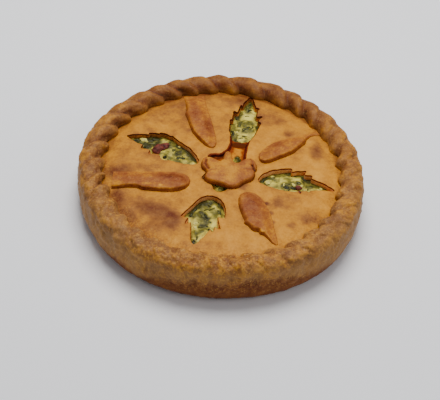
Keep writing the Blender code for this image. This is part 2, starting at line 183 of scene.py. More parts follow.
# Edges of the laid leaves, from the round end outwards: the one that stands up, then the one that has sunk in
LAID_LEAVES = (
    (
        pairs(
            -23.8, -18.5, -24.4, -22.5, -27, -26.5, -31.5, -29.2, -38, -31, -46, -31.4, -54, -31.2,
            -61, -30.6, -64.5, -28.9, -72, -29.3, -79, -30.6, -84, -30.6,
        ),
        pairs(
            -23.8, -18.5, -25.2, -14, -29, -10.8, -36, -9.4, -45, -9.6, -56, -10.6, -68, -11.6,
            -78, -12.4, -84.5, -13,
        ),
    ),
    (
        pairs(
            -8.6, 21.2, -11.6, 21.6, -15, 24, -19, 28.6, -23, 34.2, -26.4, 39.8, -28.4, 45.6, -30.8, 54,
            -33.6, 61.6, -32.8, 64.4, -33.2, 70, -34.6, 78, -36.4, 86,
        ),
        pairs(
            -8.6, 21.2, -6.4, 23.4, -5.8, 28, -6.8, 36, -8.8, 45, -11, 54, -14, 65, -17, 76, -19, 88,
        ),
    ),
    (
        pairs(
            28.6, 14.4, 29.2, 11, 31.2, 8.3, 34, 7.6, 37.4, 8.6, 41, 11.2, 45.4, 14.4, 50, 17.2,
            54.4, 20.4, 57.8, 23.6, 60, 26.8, 62.8, 30.4, 66.2, 34.6, 67.4, 39.6, 70.4, 43.6, 74.4, 46.4,
            79, 48,
        ),
        pairs(
            28.6, 14.4, 29.4, 18.6, 32, 23.4, 36, 29, 41, 33.6, 47.6, 37.2, 55, 40.2, 62, 43.6, 69, 48,
            75.4, 53,
        ),
    ),
    (
        pairs(
            18.6, -27, 15.6, -29.6, 14.2, -34, 14.4, -40, 15.8, -46, 17.8, -52, 19.8, -57, 19.4, -60,
            22.4, -61.8, 24.6, -64.8, 26.6, -66.9, 30.6, -67.2, 31.6, -69.6, 34.6, -70.4, 38, -74,
            41, -77.2, 43.6, -78.4,
        ),
        pairs(
            18.6, -27, 22.6, -26.2, 27, -27.6, 31, -31, 34, -35.4, 36.6, -41, 39.4, -48, 41.2, -56,
            42.6, -64, 44.6, -72, 45.4, -77.4,
        ),
    ),
)
LEAF_THICKNESS = 3.5 * MM
# How deep a leaf's underside has sunk into the lid, and the rounding of its sunk edge
LEAF_DEPTH = 0.5 * MM
LEAF_ROUNDING = 0.9 * MM
# Sections along a leaf, and points over and under each
LEAF_ROWS = 150
LEAF_OVER = 34
LEAF_UNDER = 6
# How far each leaf sinks at its outer end
LEAF_ENDS = (0.15, 0.85, 0.5, 0.45)
# How dark its standing edge is painted at its round end, middle and outer end: partly browning, partly
# painted shade
EDGE_TONES = ((0.8, 1, 1.1), (1, 0.7, 0.3), (1, 0.9, 0.3), (0.2, 0.45, 1.1))

# The star piece: its outline, and each crease between and across its lobes, with the crease's depth
STAR_CENTRE = (5.5 * MM, -5.6 * MM)
STAR_OUTLINE = pairs(
    4, 17.4, 6.4, 16, 7.4, 12.4, 8.3, 7.4, 9.8, 3.8, 12.4, 3.8, 15.4, 7, 18.6, 9.4, 22.4, 10.4, 25.6, 7.6,
    27.6, 2.6, 27.6, -2, 26, -4, 26.6, -7, 25.8, -11.4, 23.4, -14.6, 20.4, -16.4, 17.8, -18.2,
    15.2, -21.2, 12.4, -23.6, 9, -24.6, 5, -23.8, 1, -22, -3, -20.8, -7, -20.2, -10.6, -19, -13.2, -16.6,
    -13.4, -13, -12, -9.8, -13, -6.4, -16, -3.6, -17, 1.4, -15.6, 6.4, -12.2, 9, -9, 8.2, -5, 6, -2, 4.4,
    0, 6.6, 0.6, 11.6, 2, 16.2,
)
STAR_CREASES = (
    (1.2, pairs(23.6, 1, 24.6, -1.6, 25.6, -3.4)),
    (0.5, pairs(20.6, 9.6, 23, 7.2, 24.2, 4, 23.6, 1)),
    (0.35, pairs(17.6, -4.6, 21, -3.8, 25, -3.8)),
    (0.9, pairs(-12.8, 3, -13.2, -0.6, -12, -3.6, -10.4, -6.2)),
    (0.4, pairs(-11, 8.6, -13.4, 6, -13, 3)),
    (0.35, pairs(-11.6, -9.4, -8, -8, -5, -8.2)),
)
STAR_THICKNESS = 4.3 * MM
# Gap under it over the lid's smooth height, the rounding of its edge and the half width of its creases
STAR_GAP = 0.3 * MM
STAR_ROUNDING = 2.4 * MM
CREASE_WIDTH = 0.85 * MM
STAR_SPACING = 0.3 * MM
# Its rings as shares of its reach, over the top and back underneath
STAR_OVER = (
    *(0.06, 0.14, 0.24, 0.34, 0.44, 0.54, 0.62, 0.68, 0.73, 0.77, 0.8, 0.83, 0.86, 0.885, 0.91, 0.93, 0.95),
    *(0.965, 0.977, 0.987, 0.995, 1.0),
)
STAR_UNDER = (0.99, 0.9, 0.6, 0.2)
STAR_COLUMNS = 300

# Filling
FILLING_GAP = 0.4 * MM
# How far it stands higher in the openings than under the lid, and higher again under the star, in millimetres
FILLING_RISE = 1.5
STAR_RISE = 2.2
FILLING_PROFILE = pairs(98, 5.4, 103.1, 8.4, 106.1, 15, 104.6, 20.4, 98, 24.2)
FILLING_BASE = pairs(60, 5.4, 20, 5.4, 0, 5.4)
FILLING_CELLS = 300

# Leaves of wilted spinach that show in the openings: x, y, length, width, turn. Some dark ones lie on lines
# along the openings' edges where shade falls, and stand in for that shade as painted shade
DARK_SPINACH_AND_SHADE = (
    (-71, 30, 9, 4, 4), (-63, 31, 8, 4, 8), (-56, 32, 9, 4, 5), (-62, 23.5, 7, 6, 60),
    (-36, 24.5, 9, 5, -35), (-29, 20, 7, 4, -50), (-33, 11, 10, 4.5, -5), (-46, 11, 4.5, 3.5, 30),
    (-22.5, 12, 9, 3, 105), (7, 46, 8, 4, 95), (19, 54, 5, 3, 60), (9.5, 66, 9, 2.5, 78),
    (20.5, 86, 7, 2.5, 80), (26, 66, 6, 2.5, 95), (46.5, -13.5, 5, 3, 10), (52, -15, 7, 4, 0),
    (57.5, -14.5, 6, 4, 10), (33.5, -8, 7, 2, 35), (66, -3, 6, 2.5, -35), (-13.5, -38.5, 8, 5, 50),
    (-18.5, -45.5, 8, 3.5, 58), (-21, -51, 5, 3, 65), (-9.5, -52, 9, 2, -55), (-17.5, -78, 5, 4, 80),
    (-9, -61, 8, 1.6, -15), (-6, -65, 6, 1.6, -40), (0, -38, 5, 1.6, -60),
)
GREY_SPINACH = (
    (-58, 27, 8, 5, 20), (-40, 19.5, 7, 5, 80), (-36.5, 16.5, 5, 3, 10), (-66, 27, 7, 4, 10),
    (-44, 27, 8, 2.5, 75), (17, 51, 8, 5, 20), (12, 58, 11, 5, 72), (23, 54, 7, 3, 80),
    (10, 37, 6, 3, 110), (18, 78, 9, 4, 80), (61, -8.5, 7, 4, -40), (40, -5, 8, 4, 30),
    (53, -11, 8, 3, 10), (70, -12, 6, 3, -10), (36, -12, 6, 2.5, 20), (-7, -35.5, 7, 5, 10),
    (-11.5, -51, 8, 3, -60), (-5, -43.5, 8, 2, 20), (-13, -62, 6, 2, 10), (-15, -74, 6, 2, 80),
    (0, -45, 7, 3, 80), (0, -22.5, 6, 3, 0), (12, 14, 6, 4, 70), (-11.5, -67.5, 7, 3, 40),
    (-8, -56.5, 7, 2.5, -20), (-15, -57, 5, 2.5, 70),
)
# Dark meat: x, y, size
DARK_CHICKEN = ((-52, 20.5, 9.5), (-48, 23.5, 8), (61, -14, 4.5), (61.8, -18, 3))

# Thickness of a wilted leaf and steps along and across it
LEAF_SHEET = 0.25 * MM
SHEET_STEPS = (11, 7)
# Loose shreds of spinach: least distance from a cut edge, then least and largest length, width and turn
SHRED_MARGIN = 0.8 * MM
LEAST_SHRED = (3, 1.0, 0)
LARGEST_SHRED = (7, 2.4, 180)
# Rows and columns of a chunk of chicken, and how far dark ones are lifted out of the sauce
CHUNK_STEPS = (9, 14)
DARK_LIFT = 0.3 * MM
# Pale chicken: number of pieces, least distance from a cut edge, sizes in millimetres, and lift
PALE_COUNT = 14
PALE_MARGIN = 1.6 * MM
PALE_SIZES = (2.5, 5.0)
PALE_LIFT = -0.5 * MM

# Four steps from golden to dark brown. The raised leaves, which the heat reaches first, turn redder
CRUST_BROWNS = ("#a86a1c", "#945a1e", "#7c481a", "#6a330f")
LEAF_BROWNS = ("#a8651d", "#965620", "#86461c", "#723412")

# Browning of each surface before its own places are added, from 0 for pale to 1 for burnt
WALL_TONE = 0.475
ROPE_TONE = 0.49
LID_TONE = 0.40
LEAF_TONE = 0.51
STAR_TONE = 0.42
# Beyond these two, the tones of wall and rope change about half as fast, and the darkest end at a red-brown
DARKEST_TONE = 0.68
PALEST_TONE = 0.46

# Sizes of the patterns in the materials
MOTTLE_SIZE = 7 * MM
GRAIN_SIZE = 1.6 * MM
FLECK_SIZE = 1.7 * MM
CRUMB_SIZE = 3.2 * MM
SWIRL_SIZE = 7 * MM
CURD_SIZE = 2.4 * MM

# Cut faces carry these places in the lid's list of materials
PASTRY_FACE = 0
SCORCHED_FACE = 1
CRUMB_FACE = 2
SUNKEN_FACE = 3
LID_FINISHES = ("egg_washed_shortcrust", "scorched_edge", "moist_crumb_painted_lighter", "sunken_glaze")

# Blotches where the oven has browned the lid more: x, y, radius along, radius across, turn, strength
LID_BLOTCHES = (
    (-80, -13, 10, 8, 0, 0.3), (-77, -42, 6, 12, 8, 0.2), (-50, -50, 17, 10, -20, 0.26),
    (-34, -60, 8, 10, 15, 0.26), (-46, -69, 14, 6, 10, 0.12), (-68, -60, 10, 8, -35, 0.14),
    (-56, 9, 6, 4, 0, 0.06), (-62, -4, 14, 4, 0, 0.08), (11, 84, 15, 8, 5, 0.22),
    (-22, 88, 10, 6, 0, 0.12), (36, 61, 14, 8, -15, 0.12), (53, 46, 5, 4, 20, 0.22),
    (75, 25, 5, 9, 0, 0.28), (78, 40, 6, 6, 0, 0.1), (55, -30, 7, 6, 0, 0.12), (69, -49, 9, 6, 30, 0.16),
    (45, -34, 5, 7, 0, 0.2), (55, -57, 4, 4, 0, 0.18), (36, -37, 2.4, 2, 0, 0.3),
    (39.5, -47, 2.2, 2.2, 0, 0.28), (41.5, -56, 1.8, 1.8, 0, 0.24), (17, -19, 5, 3.5, 60, 0.26),
    (-56, 60, 13, 10, 30, 0.08), (-40, 74, 12, 7, 20, 0.08), (30, -60, 9, 6, 0, 0.05),
    (-14, -84, 16, 5, 0, 0.08), (84, -8, 6, 9, 0, 0.08), (-17, -8, 2.6, 4, 0, 0.1),
)
# The same on the laid leaves, where a strength below zero is a pale place
LEAF_BLOTCHES = (
    (-42, -16, 10, 6, 0, 0.18), (-29, -17, 4, 7, 0, 0.08), (-13, 46, 5, 10, 10, 0.26),
    (-24, 55, 6, 9, 10, 0.1), (-23, 75, 3, 4, 0, -0.14), (41, 31, 6, 5, 0, 0.18),
    (46, 24, 3, 3, 0, -0.12), (24, -36, 9, 12, 0, 0.16), (26, -47, 7, 6, 0, 0.08),
    (-58, -26.6, 4, 1.1, 0, -0.3), (-46.5, -27.4, 1.6, 1.1, 0, -0.3), (-79, -15, 8, 5, 0, 0.12),
    (33, -68.4, 1.8, 1, -20, -0.3), (16, -2, 2.6, 9, 0, 0.1), (-8, 5, 4, 3, 0, 0.08),
    (-4, -14, 8, 3, -10, 0.08), (12, -14, 6, 4, 20, 0.07), (-24, 30, 3, 3, 0, 0.1),
    (-12, 29, 2.5, 3, 0, -0.12),
)

# Stage: a lamp's name, place, size and share of the overhead light's power
LAMPS = (("overhead", (0.0, 0.42, 1.2), 0.8, 1.0), ("fill", (0.9, -0.5, 0.9), 0.8, 0.12))
LAMPS_AIM = (0, 0, 0.02)
SKY_STRENGTH = 0.315
FLOOR_REACH = 2
SENSOR_WIDTH = 36
# Shift of the picture in pixels, and its width
CAMERA_SHIFT = -3.9
IMAGE_WIDTH = 440


# Numbers and noise


def linear(code):
    """sRGB hex to linear red, green, blue and full alpha."""
    shares = [int(code[k : k + 2], 16) / 255 for k in (1, 3, 5)]
    return (*[s / 12.92 if s <= 0.04045 else ((s + 0.055) / 1.055) ** 2.4 for s in shares], 1.0)


def ease(low, high, value):
    """0 below low, 1 above high and an S-curve between them."""
    share = np.clip((value - low) / (high - low), 0, 1)
    return share * share * (3 - 2 * share)


def corner_values(corners, seed):
    """A repeatable value from -1 to 1 for every whole-number corner, by multiplying and mixing its bits."""
    factors = np.array([73856093, 19349663, 83492791], dtype=np.uint64)
    low_bits = np.uint64(0xFFFFFFFF)
    mixed = np.bitwise_xor.reduce(corners.astype(np.uint64) * factors, axis=-1)
    mixed = (mixed + np.uint64(seed * 7919 + 17)) & low_bits
    for shift, factor in ((16, 2246822507), (13, 3266489909)):
        mixed = ((mixed ^ (mixed >> np.uint64(shift))) * np.uint64(factor)) & low_bits
    mixed ^= mixed >> np.uint64(16)
    return mixed.astype(float) / 2147483648.0 - 1


def hills(points, size, seed):
    """Smooth noise from -1 to 1 with hills about size apart: the eight corner values round each point,
    blended by S-curves along the three axes."""
    place = np.asarray(points, dtype=float) / size
    cell = np.floor(place)
    part = place - cell
    part = part * part * (3 - 2 * part)
    cell = cell.astype(np.int64)
    total = np.zeros(place.shape[:-1])
    for corner in np.ndindex(2, 2, 2):
        weight = np.prod(np.where(np.array(corner) == 1, part, 1 - part), axis=-1)
        total += weight * corner_values(cell + corner, seed)
    return total


def crags(points, size, octaves, seed):
    """Layers of hills, each half as wide and half as high as the one before."""
    return sum(hills(points, size / 2**k, seed + 31 * k) / 2**k for k in range(octaves))


def points_of(x, y, z=0.0):
    """Points with their coordinates along the last axis, from arrays that fit one shape."""
    return np.stack(np.broadcast_arrays(x, y, z), -1)


# Meshes


def make_piece(name, points, faces, finishes, face_finishes=None):
    """An object on the pie's axis from a point array and a list of face arrays, each with 3 or 4 columns."""
    mesh = bpy.data.meshes.new(name)
    placed = np.array(points, dtype=float) + (AXIS_X, AXIS_Y, 0)
    corners = np.concatenate([block.ravel() for block in faces]).astype(np.int32)
    sizes = np.concatenate([np.full(len(block), block.shape[1]) for block in faces])
    starts = np.concatenate([[0], np.cumsum(sizes)[:-1]]).astype(np.int32)
    mesh.vertices.add(len(placed))
    mesh.vertices.foreach_set("co", placed.ravel())
    mesh.loops.add(len(corners))
    mesh.loops.foreach_set("vertex_index", corners)
    mesh.polygons.add(len(sizes))
    mesh.polygons.foreach_set("loop_start", starts)
    for finish in finishes:
        mesh.materials.append(bpy.data.materials[finish])
    if face_finishes is not None:
        mesh.polygons.foreach_set("material_index", np.asarray(face_finishes, dtype=np.int32))
    mesh.update(calc_edges=True)
    mesh.validate()
    mesh.shade_smooth()
    piece = bpy.data.objects.new(name, mesh)
    bpy.context.scene.collection.objects.link(piece)
    return piece


def turn_outwards(piece):
    """Turns every face of a closed piece outwards."""
    work = bmesh.new()
    work.from_mesh(piece.data)
    bmesh.ops.recalc_face_normals(work, faces=work.faces)
    work.to_mesh(piece.data)
    work.free()
    return piece


def read_points(piece):
    """The piece's points, measured from the pie's axis."""
    points = np.empty(len(piece.data.vertices) * 3)
    piece.data.vertices.foreach_get("co", points)
    return points.reshape(-1, 3) - (AXIS_X, AXIS_Y, 0)


def band_faces(rows, columns, closed=True, start=0):
    """Quads between neighbouring rows of a grid numbered row by row. A closed grid joins its last column to
    its first."""
    across = columns if closed else columns - 1
    row, column = np.meshgrid(np.arange(rows - 1), np.arange(across), indexing="ij")
    following = (column + 1) % columns
    here = start + row * columns
    next_row = here + columns
    quads = np.stack([here + column, here + following, next_row + following, next_row + column], -1)
    return quads.reshape(-1, 4)


def fan_faces(first, count, pole, flipped=False):
    """Triangles from a closed row to one pole point."""
    k = np.arange(count)
    ring = first + k
    following = first + (k + 1) % count
    pair = (following, ring) if flipped else (ring, following)
    return np.stack([*pair, np.full(count, pole)], -1)


def border_of_grid(rows, columns):
    """The numbers of a grid's border points, once round."""
    number = np.arange(rows * columns).reshape(rows, columns)
    return np.concatenate([number[:-1, 0], number[-1, :-1], number[:0:-1, -1], number[0, :0:-1]])


def tube_faces(rows, columns):
    """The faces of a closed grid whose rows run round it, with a pole before its first row and one after its
    last. The poles are numbered after the grid."""
    return [
        band_faces(rows, columns),
        fan_faces(0, columns, rows * columns, flipped=True),
        fan_faces((rows - 1) * columns, columns, rows * columns + 1),
    ]


def closed_tube(name, grid, poles, finish):
    """A closed piece from a grid of points whose rows run round it, and its two poles."""
    points = np.concatenate([grid.reshape(-1, 3), poles])
    return make_piece(name, points, tube_faces(*grid.shape[:2]), [finish])


def repeated(faces, count, single):
    """One form's faces for each of count forms, whose points follow each other with single points in each."""
    return (faces[None] + (np.arange(count) * single)[:, None, None]).reshape(-1, faces.shape[1])


def disc_body(name, cells, radius, surface, rings, finishes):
    """A closed body. Its top is a surface over a square grid drawn into a disc: a point's larger side gives
    its distance from the middle, and the ratio of its sides gives its angle. Rings of the given radii and
    heights lead down from the disc's border to the last, which is a single pole."""
    *rings, (_, pole_height) = rings
    side = np.linspace(-1, 1, cells + 1)
    u, v = np.meshgrid(side, side, indexing="ij")
    wide = np.abs(u) >= np.abs(v)
    reach, other = np.where(wide, u, v), np.where(wide, v, u)
    slope = other / np.where(reach == 0, 1, reach) * math.pi / 4
    x = np.where(wide, reach * np.cos(slope), reach * np.sin(slope)) * radius
    y = np.where(wide, reach * np.sin(slope), reach * np.cos(slope)) * radius
    top = points_of(x, y, surface(x, y)).reshape(-1, 3)
    border = border_of_grid(cells + 1, cells + 1)
    count = len(border)
    below = [top[border] * (reach / radius, reach / radius, 0) + (0, 0, height) for reach, height in rings]
    first = len(top) + np.arange(count)
    faces = [
        band_faces(cells + 1, cells + 1, closed=False),
        np.stack([border, first, np.roll(first, -1), np.roll(border, -1)], -1),
        band_faces(len(rings), count, start=len(top))[:, ::-1],
        fan_faces(len(top) + (len(rings) - 1) * count, count, len(top) + len(rings) * count, flipped=True),
    ]
    points = np.concatenate([top, *below, [[0, 0, pole_height]]])
    return turn_outwards(make_piece(name, points, faces, finishes))


def paint(piece, name, values, *poles):
    """One number for each point, those of the poles last, which the material reads by its name."""
    layer = piece.data.attributes.new(name, "FLOAT", "POINT")
    layer.data.foreach_set("value", np.append(values, poles).astype(np.float32))


def settle(piece, slot, *nodes):
    """Hands a finished piece over: it rides on the pie and stands for the named solids."""
    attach(piece, "root")
    if nodes:
        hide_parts(*nodes)


# The pie's own forms


def out_of_round(azimuth):
    """The pie's radius at an azimuth, as a share of its mean radius: one plus a few cosine waves."""
    waves = [height * np.cos(count * (azimuth - math.radians(crest))) for count, height, crest in UNEVENNESS]
    return 1 + sum(waves) / PIE_RADIUS


def strand_sizes():
    """First groove, second groove, fullness and depth of groove of every strand, the grooves as azimuths."""
    draw = random.Random(STRAND_SEED)
    rest = np.linspace(SEEN_GROOVES[-1], SEEN_GROOVES[0] + 360, STRANDS - len(SEEN_GROOVES) + 2)[1:-1]
    grooves = np.radians([*SEEN_GROOVES, *rest])
    fullness = [draw.uniform(0.86, 1.0) for _ in range(STRANDS)]
    bite = [draw.uniform(0.55, 1.3) for _ in range(STRANDS)]
    following = np.append(grooves[1:], grooves[0] + 2 * math.pi)
    return grooves, following, np.array(fullness), np.array(bite)


def groove_share(azimuth):
    """Groove depth round the pie: full at the back and left, nearly closed at the front."""
    return np.interp(np.degrees(azimuth), SHARE_AZIMUTHS, GROOVE_SHARES, period=360)


def at_back(azimuth):
    """1 at the back of the pie and 0 at the front."""
    return 0.5 + 0.5 * np.sin(azimuth)


def lid_profile(radius):
    """Smooth height of the lid: a shallow crown, then a steeper fall past its shoulder towards the rope."""
    past = np.clip(radius - LID_SHOULDER, 0, None) / LID_FALL_WIDTH
    return LID_CENTRE - LID_CROWN * (radius / LID_SHOULDER) ** 2 - LID_FALL * past**1.6


def off_line(line, x, y, closed=False):
    """Distance of places in plan from the nearest point of a line of straight pieces in millimetres."""
    px, py = np.ravel(x)[:, None], np.ravel(y)[:, None]
    starts = np.array(line) * MM
    steps = np.roll(starts, -1, axis=0) - starts
    if not closed:
        starts, steps = starts[:-1], steps[:-1]
    (ax, ay), (dx, dy) = starts.T, steps.T
    share = np.clip(((px - ax) * dx + (py - ay) * dy) / (dx**2 + dy**2), 0, 1)
    return np.hypot(px - ax - share * dx, py - ay - share * dy).min(1).reshape(np.shape(x))


def outside(outline, x, y):
    """Distance from a closed outline, below zero inside it, where a ray to the right crosses an odd number of
    its edges."""
    px, py = np.ravel(x)[:, None], np.ravel(y)[:, None]
    ax, ay = np.array(outline).T * MM
    dx, dy = np.roll(ax, -1) - ax, np.roll(ay, -1) - ay
    crossed = ((ay > py) != (ay + dy > py)) & (px < ax + dx * (py - ay) / dy)
    sign = 1 - 2 * (crossed.sum(1) % 2)
    return off_line(outline, x, y, closed=True) * sign.reshape(np.shape(x))


def rounded(distance, radius):
    """Height over an edge that is rounded as a quarter circle, from 0 at the edge to 1 at the radius."""
    return np.sqrt(1 - (1 - np.clip(distance / radius, 0, 1)) ** 2)


def outside_openings(x, y):
    """Distance from the nearest edge of any opening in the lid, below zero inside one."""
    outlines = (*WINDOW_OUTLINES.values(), STRIP_OUTLINE)
    return np.minimum.reduce([outside(outline, x, y) for outline in outlines])


def strip_hollow(x, y):
    """1 in the hollow at the far end of the strip, falling to 0 round it."""
    across, up = ((way - middle) / reach for way, middle, reach in zip((x, y), HOLLOW_CENTRE, HOLLOW_REACH))
    return np.exp(-((across**2 + up**2) ** 2))


def lid_surface(x, y):
    """Height of the baked lid: its profile, slow swells of rolled dough, small puckers, and edges of the
    openings that have shrunk and rounded down."""
    points = points_of(x, y)
    swells = 0.42 * MM * hills(points, 34 * MM, 3) + 0.22 * MM * hills(points, 12 * MM, 5)
    puckers = 0.1 * MM * crags(points, 4.8 * MM, 2, 8)
    near = np.exp(-np.clip(outside_openings(x, y), 0, None) / (1.4 * MM))
    return lid_profile(np.hypot(x, y)) + (swells + puckers) - 0.45 * MM * near


def blotches(x, y, table):
    """The sum of the blotches in a table, each a turned elliptic bell that adds its strength."""
    total = np.zeros_like(x)
    for bx, by, long, wide, turn, strength in table:
        c, s = math.cos(math.radians(turn)), math.sin(math.radians(turn))
        across, up = x / MM - bx, y / MM - by
        along = (across * c + up * s) / long
        aside = (-across * s + up * c) / wide
        total += strength * np.exp(-(along**2 + aside**2) ** 1.3)
    return total


# Materials


def set_sockets(tree, node, sockets):
    """Sets a node's sockets, by name or number, or links them where they are given another node's output."""
    for socket, value in sockets.items():
        if isinstance(value, bpy.types.NodeSocket):
            tree.links.new(value, node.inputs[socket])
        else:
            node.inputs[socket].default_value = value


def add_node(tree, kind, sockets, out=0, stops=(), **values):
    """Adds one node with its own values, its sockets and a ramp's stops, and returns its output of that name
    or number."""
    node = tree.nodes.new("ShaderNode" + kind)
    for name, value in values.items():
        setattr(node, name, value)
    set_sockets(tree, node, sockets)
    for number, (place, colour) in enumerate(stops):
        ramp = node.color_ramp.elements
        stop = ramp[number] if number < len(ramp) else ramp.new(place)
        stop.position = place
        stop.color = colour
    return node.outputs[out]


def new_material(name, **sockets):
    """An empty Principled material whose plain numbers are set on the shader's own sockets."""
    made = bpy.data.materials.new(name)
    made.use_nodes = True
    tree = made.node_tree
    shader = tree.nodes["Principled BSDF"]
    set_sockets(tree, shader, {socket.replace("_", " "): value for socket, value in sockets.items()})
    return tree, shader


def baked_pastry(name, settings, browns):
    """Shortcrust pastry, egg-washed and baked. Butter and flour brown from pale gold to dark brown, the wash
    gives a low satin, and the rough rim shows pale flour specks and dark freckles. The browning it reads also
    carries painted shade and painted highlights, and its duller, greyer tone is partly painted shade."""
    tree, shader = new_material(name, IOR=1.45, Specular_IOR_Level=0.15)
    place = add_node(tree, "TexCoord", {}, "Object")
    browning_and_shading = add_node(tree, "Attribute", {}, "Fac", attribute_name="browning_and_shading")
    coarse = add_node(tree, "Attribute", {}, "Fac", attribute_name="coarse")
    dull_tone_and_shade = add_node(tree, "Attribute", {}, "Fac", attribute_name="dull_tone_and_shade")
    mottle = add_node(
        tree, "TexNoise", {"Vector": place, "Scale": 1 / MOTTLE_SIZE, "Detail": 5.0, "Roughness": 0.62}
    )
    grain = add_node(
        tree, "TexNoise", {"Vector": place, "Scale": 1 / GRAIN_SIZE, "Detail": 3.0, "Roughness": 0.6}
    )
    mottled = add_node(tree, "Math", {0: mottle, 1: 0.44, 2: browning_and_shading}, operation="MULTIPLY_ADD")
    grain_share = add_node(tree, "Math", {0: coarse, 1: 0.9, 2: 0.10}, operation="MULTIPLY_ADD")
    centred = add_node(tree, "Math", {0: grain, 1: 0.5}, operation="SUBTRACT")
    grained = add_node(tree, "Math", {0: centred, 1: grain_share, 2: mottled}, operation="MULTIPLY_ADD")
    level = add_node(tree, "Math", {0: grained, 1: 0.22}, operation="SUBTRACT")
    stops = [(0.0, linear("#eab04a")), (0.22, (*settings.pale, 1.0)), (0.42, (*settings.golden, 1.0))]
    stops += zip((0.49, 0.56, 0.66, 0.76), map(linear, browns))
    stops += [(0.86, (*settings.dark, 1.0)), (1.0, linear("#2a0d03"))]
    colour = add_node(tree, "ValToRGB", {"Fac": level}, stops=stops)
    flecks = add_node(
        tree, "TexNoise", {"Vector": place, "Scale": 1 / FLECK_SIZE, "Detail": 2.0, "Distortion": 1.5}
    )
    fleck_share = add_node(tree, "MapRange", {"Value": flecks, "From Min": 0.56, "From Max": 0.72})
    floury = add_node(tree, "Math", {0: fleck_share, 1: coarse}, operation="MULTIPLY")
    # A Mix node names its sockets once for each kind of data, so the ones for colour go by number
    dulled = add_node(tree, "Mix", {0: dull_tone_and_shade, 6: colour, 7: (*settings.dull_tone_and_shade, 1.0)}, 2, data_type="RGBA")
    speckled = add_node(tree, "Mix", {0: floury, 6: dulled, 7: linear("#c89648")}, 2, data_type="RGBA")
    dull = add_node(tree, "MapRange", {"Value": mottle, "To Min": 0.42, "To Max": 0.66})
    height = add_node(tree, "Math", {0: grain, 1: grain_share, 2: mottle}, operation="MULTIPLY_ADD")
    bump = add_node(tree, "Bump", {"Height": height, "Strength": 0.6, "Distance": 0.5 * MM})
    set_sockets(tree, shader, {"Base Color": speckled, "Roughness": dull, "Normal": bump})


def cut_pastry(name, dark, light, roughness, sheen):
    """Pastry cut before baking. Its bare edge caramelises to dark red-brown, and its crumb takes up the
    juices and turns orange-brown with a moist sheen. The value it reads darkens it towards its darkest stop:
    scorch, and painted shade deep in the cut walls and in the strip's hollow."""
    tree, shader = new_material(name, Roughness=roughness, IOR=1.45, Specular_IOR_Level=sheen)
    place = add_node(tree, "TexCoord", {}, "Object")
    crumb = add_node(
        tree, "TexNoise", {"Vector": place, "Scale": 1 / CRUMB_SIZE, "Detail": 4.0, "Roughness": 0.6}
    )
    scorch_and_shade = add_node(tree, "Attribute", {}, "Fac", attribute_name="scorch_and_shade")
    tone = add_node(tree, "Math", {0: crumb, 1: scorch_and_shade}, operation="SUBTRACT")
    burnt_and_shaded = [0.35 * share for share in linear(dark)[:3]]
    stops = ((0.0, (*burnt_and_shaded, 1.0)), (0.32, linear(dark)), (0.68, linear(light)))
    colour = add_node(tree, "ValToRGB", {"Fac": tone}, stops=stops)
    bump = add_node(tree, "Bump", {"Height": crumb, "Strength": 0.5, "Distance": 0.5 * MM})
    set_sockets(tree, shader, {"Base Color": colour, "Normal": bump})


def cream_filling(settings):
    """Thickened cream with the juice of spinach. The sauce is pale yellow-green and wet, and grey-green where
    the leaf has bled into it. The same greens are painted darker in front of the openings' back walls as
    painted shade."""
    tree, shader = new_material("spinach_cream", Roughness=0.42, IOR=1.4, Specular_IOR_Level=0.12)
    place = add_node(tree, "TexCoord", {}, "Object")
    greens_and_shade = add_node(tree, "Attribute", {}, "Fac", attribute_name="greens_and_shade")
    swirl = add_node(
        tree, "TexNoise", {"Vector": place, "Scale": 1 / SWIRL_SIZE, "Detail": 4.0, "Distortion": 0.5}
    )
    stain_and_shade = add_node(tree, "Math", {0: swirl, 1: greens_and_shade}, operation="SUBTRACT")
    stops = [(0.24, (*settings.stained_and_shaded, 1.0)), (0.38, linear("#736a26"))]
    stops += [(0.48, (*settings.cream, 1.0)), (0.63, linear("#e0cf5e"))]
    colour = add_node(tree, "ValToRGB", {"Fac": stain_and_shade}, stops=stops)
    curd = add_node(tree, "TexNoise", {"Vector": place, "Scale": 1 / CURD_SIZE, "Detail": 2.0})
    bump = add_node(tree, "Bump", {"Height": curd, "Strength": 0.5, "Distance": 0.5 * MM})
    set_sockets(tree, shader, {"Base Color": colour, "Normal": bump})


def cooked_bits(name, dark, light, size, roughness):
    """Cooked, wet pieces in the sauce, mottled between two colours at their own scale."""
    tree, shader = new_material(name, Roughness=roughness, IOR=1.4, Specular_IOR_Level=0.2)
    place = add_node(tree, "TexCoord", {}, "Object")
    tone = add_node(tree, "TexNoise", {"Vector": place, "Scale": 1 / size, "Detail": 3.0})
    colour = add_node(tree, "ValToRGB", {"Fac": tone}, stops=((0.36, linear(dark)), (0.64, linear(light))))
    bump = add_node(tree, "Bump", {"Height": tone, "Strength": 0.4, "Distance": 0.3 * MM})
    set_sockets(tree, shader, {"Base Color": colour, "Normal": bump})


# Crust


